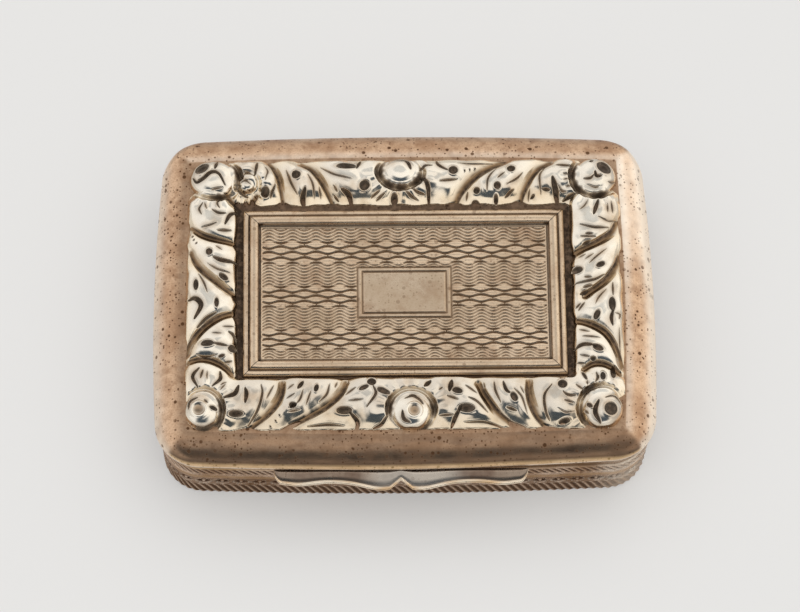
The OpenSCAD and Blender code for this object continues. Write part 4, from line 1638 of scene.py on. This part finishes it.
@dataclass
class LidCap:
    """Pressed top sheet: rim, convex edge that creases at the corners, deck and hollow underside.

    flat lists the inset and the black of the deck's loops: black patina, and painted shadow in the gap inside
    the border.
    """

    half_x: float = 19.0
    half_y: float = 13.4
    corner: float = 3.6
    bow: float = 0.33
    rim_low: float = 7.05
    rim_high: float = 7.46
    cushion: float = 2.3
    deck: float = 8.9
    sheet: float = 0.6
    wall: float = 0.95
    columns: int = 560
    steps: int = 18
    set_back: float = 0.27
    dents: float = 0.02
    sink: float = 0.015
    flat: tuple[Point, ...] = ((2.38, 0.0), (3.8, 0.1), (6.0, 0.95), (6.8, 0.9), (8.0, 0.2))

    def rows(self) -> list[tuple[float, float, float, float]]:
        """Return inset, height, black and gilding of each loop, from the inner ceiling to the deck; the black
        is patina with painted shade under the rim and in the gap inside the border.
        """
        low, high = self.rim_low, self.rim_high
        inside = self.arc(self.wall, low + 0.2, self.cushion + 0.2, self.deck - self.sheet)
        rows = [(s, z, 0.0, 1.0) for s, z in reversed(inside)]
        rows += [(self.wall, low, 0.0, 1.0), (0.4, low, 0.6, 0.0), (0.14, low, 0.3, 0.0)]
        rows += [(0.04, low + 0.04, 0.0, 0.0), (0.0, low + 0.14, 0.0, 0.0), (0.0, high - 0.1, 0.0, 0.0)]
        rows += [(s, z, 0.0, 0.0) for s, z in self.arc(0.01, high, self.cushion, self.deck)]
        rows += [(s, self.deck, black, 0.0) for s, black in self.flat]
        return rows

    def arc(self, s0: float, z0: float, s1: float, z1: float) -> list[Point]:
        """Return an arc that rises from s0, z0 and is level at s1, z1."""
        wide, high = s1 - s0, z1 - z0
        radius = (wide**2 + high**2) / (2 * high)
        lean = math.asin(min(1.0, wide / radius))
        angles = np.linspace(lean, 0.0, self.steps)
        return [(s1 - radius * math.sin(a), z1 - radius + radius * math.cos(a)) for a in angles]

    def build(self) -> None:
        """Make and seat the cap."""
        place, _ = RoundedPlan(self.half_x, self.half_y, self.corner).even(self.columns)
        rows = self.rows()
        points = np.zeros((len(place), len(rows), 3))
        for j, (inset, z, _, _) in enumerate(rows):
            radius = max(0.15, self.corner * max(0.0, 1.0 - inset / self.cushion) ** 1.7)
            bow = self.bow * max(0.0, 1.0 - max(0.0, inset - self.cushion) / 3.0)
            plan = RoundedPlan(self.half_x - inset, self.half_y - inset, radius, bow, bow)
            points[:, j, :2], _ = plan.walk(place)
            points[:, j, 2] = z
        first = len(rows) - len(self.flat) - self.steps
        sway = self.dents * unevenness(points[..., 0], points[..., 1], 7.0)
        fade = np.zeros(len(rows))
        fade[first:first + self.steps] = np.sin(np.linspace(0.0, np.pi, self.steps))
        points[..., 2] += (sway - self.sink) * fade
        inset, _, oxide_and_shade, gilt = (np.tile(column, (len(place), 1)) for column in zip(*rows))
        near_rim = np.clip(1.0 - inset / self.cushion, 0.0, 1.0) * (gilt < 0.5)
        splay(points, near_rim)
        points[..., 1] += self.set_back * ramp(-4.0, 18.0, points[..., 0]) * near_rim * (points[..., 1] < 0.0)
        stains = self.patina(points, inset, oxide_and_shade, gilt)
        piece = Surface(points, stains).tube("lid_cap_pressed")
        wear(piece, CASE_SILVER)
        seat(piece, Body.LID, "lid_cap")

    def patina(self, points: np.ndarray, inset: np.ndarray, oxide_and_shade: np.ndarray,
               gilt: np.ndarray) -> dict[str, np.ndarray]:
        """Work out where the cap is brown, black, worn pale and gilt, with painted sheen, highlights,
        reflection and shade.

        Args:
            points: The cap's points.
            inset: Distance of each point from the rim.
            oxide_and_shade: Black of each loop, patina with painted shade in places.
            gilt: Gilding of each loop.

        Returns:
            The stains by name.
        """
        x, y = points[..., 0], points[..., 1]
        up = points[..., 2] - self.rim_high
        share = np.clip(inset / self.cushion, 0.0, 1.0)
        outside = gilt < 0.5
        flank = ramp(-0.4, 0.4, (np.abs(x) - self.half_x) - (np.abs(y) - self.half_y))
        front, back = (1.0 - flank) * (y < 0), (1.0 - flank) * (y > 0)
        right, left = flank * (x > 0), flank * (x < 0)
        outer, inner = np.exp(-((share / 0.34) ** 2)), np.exp(-(((share - 0.95) / 0.2) ** 2))
        # The front rim band that faces the light is partly a painted highlight, pale and gold; a thin painted
        # highlight line runs along the rim's lower edge.
        lit = ramp(-0.14, -0.02, up) * (1.0 - ramp(0.2, 0.4, up))
        gleam = np.exp(-(((up + 0.1) / 0.06) ** 2))
        # Paler on the right and on the left rim: wear, and painted sheen where more light falls.
        wear_and_sheen = right * (0.95 * outer + 0.4 * inner + 0.4 * ramp(-1.0, 7.0, y)) + left * 0.6 * outer
        wear_and_sheen = wear_and_sheen + back * 0.4 * inner + front * (0.25 * lit + 0.7 * gleam)
        # A painted dark reflection in a band just above the front rim.
        dark_reflection_band = front * np.exp(-(((share - 0.07) / 0.075) ** 2)) * ramp(0.2, 0.38, up)
        above = (0.74 + 0.2 * np.exp(-(((share - 0.08) / 0.16) ** 2))) * ramp(0.16, 0.34, up)
        below = 0.75 * (1.0 - ramp(-0.26, -0.16, up))
        # Browner at the front and on the left: tarnishing, and painted shade where less light falls.
        brown = front * np.maximum(above, below)
        brown = brown + left * 0.5 * ramp(0.5, 1.0, share) + back * 0.22 * (1.0 - ramp(0.6, 0.9, share))
        brown = np.where(inset > self.cushion + 0.05, np.where(inset > 3.5, 0.8, 0.4), brown)
        # Black in the gap inside the border, most at the sides: painted shadow over patina.
        gap_shade = np.where(flank > 0.5, 1.0, np.where(y > 0, 0.7, 0.45))
        oxide_and_shade = oxide_and_shade * np.where(inset > 5.0, gap_shade, 1.0)
        return {
            "oxide_and_shade": np.maximum(oxide_and_shade, 0.5 * dark_reflection_band * outside),
            "gilt": np.maximum(gilt, 0.35 * front * lit),
            "tarnish_and_shade": np.clip(brown, 0.0, 1.0) * outside,
            "wear_and_sheen": np.clip(wear_and_sheen, 0.0, 1.0) * outside * (inset <= self.cushion),
        }


class Rolled(Enum):
    """Rolled ornament of the side walls."""

    LID = "lid"
    BASE = "base"


@dataclass
class SideWall:
    """Wall with rolled bands, wrapped round the case and notched at the hinge.

    From the foot up, the bands are a rope of flutes, a chain of links between two lines, a plain strip,
    slanting leaves and a cove. Their levels are heights over the foot.
    """

    node: str
    body: Body
    pattern: Rolled
    low: float
    high: float
    half_x: float = 18.65
    half_y: float = 13.05
    corner: float = 3.25
    bow: float = 0.33
    thick: float = 0.6
    columns: int = 1740
    rows: int = 40
    hinge_y: float = 13.35
    hinge_z: float = 4.425
    hinge_half: float = 12.52
    notch: float = 0.8
    leaf_pitch: float = 0.56
    flute_pitch: float = 0.6
    link_pitch: float = 1.42
    rope_high: float = 2.0
    chain_low: float = 2.14
    chain_z: float = 2.84
    chain_high: float = 3.56
    strip_z: float = 4.0
    leaf_low: float = 4.52
    leaf_high: float = 5.5
    leaf_slant: float = 1.27
    leaf_depth: float = 0.14
    cove_depth: float = 0.16
    flute_depth: float = 0.1

    def build(self) -> None:
        """Make and seat the wall."""
        plan = RoundedPlan(self.half_x, self.half_y, self.corner, self.bow)
        place, walked = plan.even(self.columns)
        outline, outward = plan.walk(place)
        rise = np.linspace(self.low, self.high, self.rows)
        heights = np.concatenate([rise, [self.high, self.low, self.low]])
        hidden = slice(self.rows, self.rows + 2)
        depth = np.zeros((len(place), len(heights)))
        tarnish_and_shade = np.zeros_like(depth)
        u, z = np.meshgrid(walked, rise, indexing="ij")
        depth[:, :self.rows], tarnish_and_shade[:, :self.rows] = self.roll(u, z, walked[-1])
        depth[:, hidden] = self.thick
        depth[:, -1] = depth[:, 0]
        tarnish_and_shade[:, -1] = tarnish_and_shade[:, 0]
        points = np.zeros((len(place), len(heights), 3))
        points[..., :2] = outline[:, None, :] - outward[:, None, :] * depth[..., None]
        points[..., 2] = heights
        outer = np.ones(len(heights))
        outer[hidden] = 0.0
        splay(points, outer)
        self.clear_hinge(points)
        golden = 0.3 - 0.24 * ramp(-15.0, -8.0, outline[:, 0])
        strip = np.exp(-(((heights - self.strip_z) / 0.2) ** 2))
        gilt = golden[:, None] * ramp(self.leaf_high, self.leaf_high + 0.2, heights) + 0.25 * strip
        gilt[:, hidden] = 1.0
        # Painted highlight on the ridges and at the front right corner.
        shine = self.shine(depth, heights, outline)
        stains = {"tarnish_and_shade": tarnish_and_shade, "oxide_and_shade": tarnish_and_shade**3 * 0.2, "gilt": gilt, "wear_and_sheen": shine}
        piece = Surface(points, stains).tube(f"{self.node}_rolled")
        wear(piece, BAND_SILVER)
        seat(piece, self.body, self.node)

    def shine(self, depth: np.ndarray, z: np.ndarray, outline: np.ndarray) -> np.ndarray:
        """Find where the ridges and the front right corner get a painted highlight, but not the plain strips.

        Args:
            depth: Depth below the wall's face.
            z: Height.
            outline: Plan points of the wall.

        Returns:
            Brightness from 0 to 1.
        """
        above_chain = ramp(self.chain_high - 0.11, self.chain_high + 0.04, z)
        plain = above_chain * (1.0 - ramp(self.leaf_low - 0.02, self.leaf_low + 0.08, z))
        corner = ramp(13.0, 17.0, outline[:, :1]) * ramp(9.0, 12.0, -outline[:, 1:])
        return 0.6 * np.exp(-((depth / 0.022) ** 2)) * (1.0 - 0.85 * plain) * (1.0 - corner) + 0.55 * corner

    def clear_hinge(self, points: np.ndarray) -> None:
        """Push the wall clear of the hinge barrels.

        Args:
            points: The wall's points, changed in place.
        """
        dy, dz = points[..., 1] - self.hinge_y, points[..., 2] - self.hinge_z
        away = np.hypot(dy, dz)
        hit = (np.abs(points[..., 0]) < self.hinge_half) & (away < self.notch)
        grow = self.notch / np.maximum(away, 0.05)
        points[..., 1] = np.where(hit, self.hinge_y + dy * grow, points[..., 1])
        points[..., 2] = np.where(hit, self.hinge_z + dz * grow, points[..., 2])

    def roll(self, u: np.ndarray, z: np.ndarray, around: float) -> tuple[np.ndarray, np.ndarray]:
        """Work out the rolled ornament.

        Args:
            u: Length walked round the wall.
            z: Height.
            around: Length of the whole outline.

        Returns:
            Depth below the wall's face, and brown tarnish.
        """
        if self.pattern is Rolled.LID:
            return self.hatch(u, z, around)
        return self.rope(u, z, around)

    def hatch(self, u: np.ndarray, z: np.ndarray, around: float) -> tuple[np.ndarray, np.ndarray]:
        """Cut slanting leaves between a cove and a plain strip on the lid.

        Args:
            u: Length walked round the wall.
            z: Height.
            around: Length of the whole outline.

        Returns:
            Depth and tarnish.
        """
        count = round(around / self.leaf_pitch)
        phase = u * count / around + self.leaf_slant * (z - 4.5)
        ridge = np.abs((phase % 1.0) - 0.5) * 2.0
        top = self.leaf_high
        band = ramp(self.leaf_low, self.leaf_low + 0.08, z) * (1.0 - ramp(top, top + 0.1, z))
        depth = band * self.leaf_depth * (1.0 - ridge**1.4)
        cove = ramp(top, top + 0.3, z)
        tarnish_and_shade = np.maximum(band * (1.0 - ramp(0.25, 0.85, ridge)), 0.8 * cove)
        return depth + self.cove_depth * cove, tarnish_and_shade

    def rope(self, u: np.ndarray, z: np.ndarray, around: float) -> tuple[np.ndarray, np.ndarray]:
        """Cut a rope of flutes below a chain of lozenges on the base.

        Args:
            u: Length walked round the wall.
            z: Height.
            around: Length of the whole outline.

        Returns:
            Depth and tarnish.
        """
        flutes = round(around / self.flute_pitch)
        phase = u * flutes / around + 0.9 * z + 0.12 * np.sin(2.6 * z)
        ridge = np.abs((phase % 1.0) - 0.5) * 2.0
        band = 1.0 - ramp(self.rope_high, self.rope_high + 0.1, z)
        depth = band * self.flute_depth * (1.0 - ridge**1.5)
        tarnish_and_shade = band * (1.0 - ramp(0.4, 1.0, ridge))
        links = round(around / self.link_pitch)
        turn = np.pi * u * links / around
        swing = 0.56 * np.sin(turn)
        up = z - self.chain_z
        chain = np.minimum(np.abs(up - swing), np.abs(up + swing))
        within = np.abs(up) < np.abs(swing)
        low, high = self.chain_low, self.chain_high
        row = ramp(low + 0.02, low + 0.08, z) * (1.0 - ramp(high - 0.1, high - 0.04, z))
        wire = np.exp(-((chain / 0.07) ** 2))
        eye = np.exp(-((up / 0.14) ** 2) - ((np.abs(np.sin(turn)) - 1.0) / 0.05) ** 2)
        ground = row * (1.0 - np.maximum(wire, eye))
        sunk = np.where(within, 0.16, 0.08) * ground
        edge_line = np.exp(-(((z - low) / 0.05) ** 2)) + np.exp(-(((z - high) / 0.05) ** 2))
        stain = np.where(within, 1.0, 0.5) * ground
        strip = 0.5 * np.exp(-(((z - self.strip_z) / 0.2) ** 2))
        tarnish_and_shade = np.maximum(np.maximum(tarnish_and_shade, strip), np.maximum(stain, 0.7 * edge_line))
        return depth + sunk + 0.05 * edge_line, np.clip(tarnish_and_shade, 0.0, 1.0)


@dataclass
class BaseFloor:
    """Floor sheet whose edge carries on the wall's rope of flutes, and turns under at the foot."""

    wall: SideWall
    thick: float = 0.6
    foot: float = 0.1
    rows: int = 12
    inner: float = 9.0
    turned_in: float = 1.2

    def build(self) -> None:
        """Make and seat the floor."""
        wall = self.wall
        plan = RoundedPlan(wall.half_x, wall.half_y, wall.corner, wall.bow)
        place, walked = plan.even(wall.columns)
        heights = np.linspace(0.0, self.thick, self.rows)
        u, z = np.meshgrid(walked, heights, indexing="ij")
        depth, tarnish_and_shade = wall.rope(u, z, walked[-1])
        outline, outward = plan.walk(place)
        points = np.zeros((len(place), self.rows + 4, 3))
        shine = np.zeros(points.shape[:2])
        # Painted highlight on the ridges and at the front right corner.
        shine[:, 2:-2] = wall.shine(depth, z, outline)
        depth = depth + 0.01 + self.foot * (1.0 - np.clip(z / 0.3, 0.0, 1.0)) ** 2
        points[:, 2:-2, :2] = outline[:, None, :] - outward[:, None, :] * depth[..., None]
        points[:, 2:-2, 2] = z
        splay(points[:, 2:-2], np.ones(self.rows))
        for j, inset in ((0, self.inner), (1, self.turned_in), (-2, self.turned_in), (-1, self.inner)):
            level = RoundedPlan(wall.half_x - inset, wall.half_y - inset, max(0.2, wall.corner - inset))
            points[:, j, :2], _ = level.walk(place)
            points[:, j, 2] = 0.0 if j >= 0 else self.thick
        stain = np.zeros(points.shape[:2])
        stain[:, 2:-2] = tarnish_and_shade
        gilt = np.zeros(points.shape[:2])
        gilt[:, -2:] = 1.0
        stains = {"tarnish_and_shade": stain, "oxide_and_shade": stain**3 * 0.2, "gilt": gilt, "wear_and_sheen": shine}
        piece = Surface(points, stains).tube("base_floor_rolled")
        wear(piece, BAND_SILVER)
        seat(piece, Body.BASE, "base_floor")


@dataclass
class Thumbpiece:
    """Scalloped thumbpiece with a beaded edge, sloping down from under the rim."""

    width: float = 19.4
    reach: float = 1.65
    thick: float = 0.45
    slope: float = 25.0
    root_y: float = -13.43
    root_z: float = 6.675
    bead: float = 0.13
    offset: float = -0.4
    columns: int = 260

    def edge(self, t: np.ndarray) -> np.ndarray:
        """Return how far the edge stands out, at t from 0 in the middle to 1 at the end."""
        wave = 0.66 + 0.34 * np.exp(-((t - 0.15) / 0.2) ** 2) + 0.12 * np.exp(-((t - 0.8) / 0.13) ** 2)
        wave = wave - 0.32 * np.maximum(0.0, 1.0 - t / 0.09)
        round_off = np.sqrt(np.maximum(0.0, 1.0 - (np.maximum(t - 0.93, 0.0) / 0.07) ** 2))
        return self.reach * wave * np.where(t > 0.93, round_off, 1.0)

    def build(self) -> None:
        """Make and seat the thumbpiece."""
        turn = np.linspace(-1.0, 1.0, self.columns)
        x = np.sign(turn) * (1.0 - (1.0 - np.abs(turn)) ** 1.4) * self.width / 2
        reach = np.maximum(self.edge(np.abs(x) / (self.width / 2)), 0.02)
        half = self.thick / 2
        top = half - 0.03
        section = [(0.0, top), (0.3, top), (0.6, top), (0.85, top), (0.93, top - 0.03)]
        bead = np.radians(np.linspace(150.0, -90.0, 11))
        below = [(0.8, -half), (0.0, -half)]
        first, last = len(section), len(section) + len(bead)
        points = np.zeros((self.columns, last + len(below) + 1, 3))
        points[..., 0] = x[:, None]
        r = np.minimum(self.bead, reach / 2)
        rows = list(range(first)) + [last, last + 1]
        for j, (share, up) in zip(rows, section + below):
            points[:, j, 1] = -share * (reach - 2 * r)
            points[:, j, 2] = up
        for j, angle in enumerate(bead, first):
            points[:, j, 1] = -(reach - r + r * math.cos(angle))
            points[:, j, 2] = half - self.bead + r * math.sin(angle)
        points[:, -1] = points[:, 0]
        stain, dark = np.zeros(points.shape[:2]), np.zeros(points.shape[:2])
        # The bead is pale gold: it takes the finish's groove colour.
        stain[:, first:last] = 1.0
        # Painted shadow: a thin dark line along the top, under the rim, and a darker one where the plate
        # meets the bead.
        dark[:, 0] = 0.15
        dark[:, first - 1] = 0.6
        pale = np.exp(-(((x - 1.0) / 3.6) ** 4))[:, None] * (1.0 - stain)
        points[..., 0] += self.offset
        self.tilt(points)
        piece = Surface(points, {"tarnish_and_shade": stain, "oxide_and_shade": dark, "wear_and_sheen": pale}).tube("thumbpiece_beaded")
        wear(piece, THUMB_SILVER)
        seat(piece, Body.LID, "thumbpiece")

    def tilt(self, points: np.ndarray) -> None:
        """Slope the flat shape down and move it to the lid's front.

        Args:
            points: Points to move, changed in place.
        """
        c, s = math.cos(math.radians(self.slope)), math.sin(math.radians(self.slope))
        y, z = points[..., 1].copy(), points[..., 2].copy()
        points[..., 1] = np.minimum(self.root_y + y * c - z * s, self.root_y)
        points[..., 2] = self.root_z + y * s + z * c


@dataclass
class Sponge:
    """Porous pad that fills the base under the grille."""

    cuts: int = 84
    pores: int = 900
    pore: float = 0.42
    widest: float = 0.62
    narrowest: float = 0.16
    seed: int = 5

    def build(self) -> None:
        """Make and seat the sponge."""
        low, high = (np.array(v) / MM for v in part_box("sponge"))
        mid, half = (low + high) / 2, (high - low) / 2
        work = bmesh.new()
        bmesh.ops.create_cube(work, size=2.0)
        bmesh.ops.subdivide_edges(work, edges=work.edges, cuts=self.cuts, use_grid_fill=True)
        dark = work.verts.layers.float.new("oxide_and_shade")
        flat = np.array([vert.co for vert in work.verts])
        away = (np.abs(flat) ** 7).sum(axis=1) ** (1 / 7)
        flat = flat / np.maximum(away, 1.0)[:, None]
        hollow = self.hollows(mid + flat * half, low, high)
        moved = mid + flat * (half - self.pore * hollow[:, None])
        for vert, place, deep in zip(work.verts, moved, hollow):
            vert.co = place
            vert[dark] = deep
        bmesh.ops.recalc_face_normals(work, faces=work.faces)
        piece = finish_mesh(work, "sponge_pad")
        wear(piece, SpongeFinish())
        seat(piece, Body.BASE, "sponge")

    def hollows(self, points: np.ndarray, low: np.ndarray, high: np.ndarray) -> np.ndarray:
        """Scatter round pores of many sizes, always in the same places.

        Args:
            points: Points on the pad.
            low: Lowest corner of the pad.
            high: Highest corner of the pad.

        Returns:
            Depth at each point, from 0 to 1.
        """
        dice = np.random.default_rng(self.seed)
        deep = 0.1 + 0.1 * unevenness(points[:, 0], points[:, 1], 1.3)
        for centre in dice.uniform(low, high, (self.pores, 3)):
            size = self.narrowest + (self.widest - self.narrowest) * dice.random() ** 2.5
            centre[2] = high[2] if dice.random() < 0.7 else centre[2]
            spread = np.linalg.norm(points - centre, axis=1) / size
            deep = np.maximum(deep, np.clip(1.0 - spread**3, 0.0, 1.0) * (0.45 + 0.55 * size / self.widest))
        return np.clip(deep, 0.0, 1.0)


@dataclass
class Fittings:
    """CAD nodes whose shape is right, and which only need their finish."""

    silver: tuple[str, ...] = ("base_hinge_barrels", "lid_hinge_pin", "lid_hinge_barrels", "grille_hinge_pin")
    gilt: tuple[str, ...] = ("base_bezel", "grille_plate", "grille_hinge_barrels", "grille_hinge_brackets",
                             "grille_lift_tab")

    def dress(self) -> None:
        """Give each node its finish."""
        for names, finish in ((self.silver, HINGE_SILVER), (self.gilt, GILDING)):
            for name in names:
                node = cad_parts[name]
                wear(node, finish)
                LOG.info("%s keeps its shape", name)


# Studio


@dataclass
class Studio:
    """Pale floor, soft light and the camera. The lamp's size and place are in metres."""

    floor_half: float = 6000.0
    sky_left: Colour = (1.06, 1.06, 1.07)
    sky_right: Colour = (1.26, 1.24, 1.20)
    sky_panel: Colour = (0.70, 0.725, 0.75)
    sky_dim: Colour = (0.07, 0.095, 0.125)
    lamp_size: float = 0.7
    lamp_power: float = 0.12
    lamp_place: tuple[float, float, float] = (0.25, 0.45, 0.75)
    look: tuple[float, float, float] = (-0.306, 0.078, 6.0)
    distance: float = 280.0
    yaw: float = -2.487
    tilt: float = 20.771
    roll: float = 1.912
    lens: float = 162.17
    sensor: float = 36.0

    def build(self) -> None:
        """Make the floor, the light and the camera."""
        self.floor()
        self.sky()
        self.softbox()
        self.camera()

    def floor(self) -> None:
        """Lay a large pale floor."""
        work = bmesh.new()
        bmesh.ops.create_grid(work, x_segments=1, y_segments=1, size=self.floor_half)
        piece = finish_mesh(work, "floor")
        wear(piece, FloorFinish())

    def sky(self) -> None:
        """Surround the scene with soft light, brighter on the right and dim in front."""
        world = bpy.data.worlds.new("studio")
        world.use_nodes = True
        bpy.context.scene.world = world
        graph = Graph(world.node_tree)
        way = graph.node("ShaderNodeTexCoord").outputs["Generated"]
        split = graph.node("ShaderNodeSeparateXYZ", None, {"Vector": way})
        x, y, z = (Wire(graph, split.outputs[k]) for k in range(3))
        mirrored = Wire(graph, graph.node("ShaderNodeLightPath").outputs["Is Glossy Ray"])
        height = z.ease(0.10, 0.30) * (1.0 - z.ease(0.70, 0.86))
        dim = height * (y * -1.0).ease(0.2, 0.5) * (1.0 - (x * x).ease(0.10, 0.50)) * mirrored
        side = graph.mix((x * 0.5 + 0.5).ease(0.1, 0.9), self.sky_left, self.sky_right)
        panel = (x * x * 0.5 + (y - 0.36) * (y - 0.36)).ease(0.10, 0.012) * z.ease(0.0, 0.3) * mirrored
        side = graph.mix(panel, side, self.sky_panel)
        colour = graph.mix(dim, side, self.sky_dim)
        level = mirrored + (1.0 - mirrored) * (z * z * 1.37 + 0.2)
        light = graph.node("ShaderNodeBackground", None, {"Color": colour, "Strength": level})
        graph.node("ShaderNodeOutputWorld", None, {"Surface": light.outputs[0]})

    def softbox(self) -> None:
        """Hang one large lamp over the back of the box."""
        lamp = bpy.data.lights.new("softbox", "AREA")
        lamp.shape = "SQUARE"
        lamp.size = self.lamp_size
        lamp.energy = self.lamp_power
        piece = bpy.data.objects.new("softbox", lamp)
        bpy.context.collection.objects.link(piece)
        piece.location = self.lamp_place
        piece.rotation_euler = (-piece.location).to_track_quat("-Z", "Y").to_euler()

    def camera(self) -> None:
        """Put the camera at the photograph's viewpoint."""
        data = bpy.data.cameras.new("view")
        data.sensor_fit = "HORIZONTAL"
        data.sensor_width = self.sensor
        data.lens = self.lens
        data.clip_start = 0.01
        piece = bpy.data.objects.new("view", data)
        bpy.context.collection.objects.link(piece)
        spins = ((self.yaw, "Z"), (self.tilt, "X"), (self.roll, "Z"))
        yaw, tilt, roll = (Matrix.Rotation(math.radians(angle), 3, axis) for angle, axis in spins)
        turn = yaw @ tilt @ roll
        spot = [MM * (a + b * self.distance) for a, b in zip(self.look, turn.col[2])]
        piece.matrix_world = Matrix.Translation(spot) @ turn.to_4x4()
        bpy.context.scene.camera = piece


def main() -> None:
    """Build everything in order."""
    logging.basicConfig(level=logging.INFO, format="%(message)s")
    bpy.context.scene.view_settings.view_transform = "Standard"
    Studio().build()
    Fittings().dress()
    Sponge().build()
    base_wall = SideWall("base_wall", Body.BASE, Rolled.BASE, low=0.6, high=4.4)
    base_wall.build()
    BaseFloor(base_wall).build()
    SideWall("lid_band", Body.LID, Rolled.LID, low=4.45, high=7.05).build()
    LidCap().build()
    Thumbpiece().build()
    LeafBorder().build()
    Moulding().build()
    EnginePanel().build()


if __name__ == "__main__":
    main()
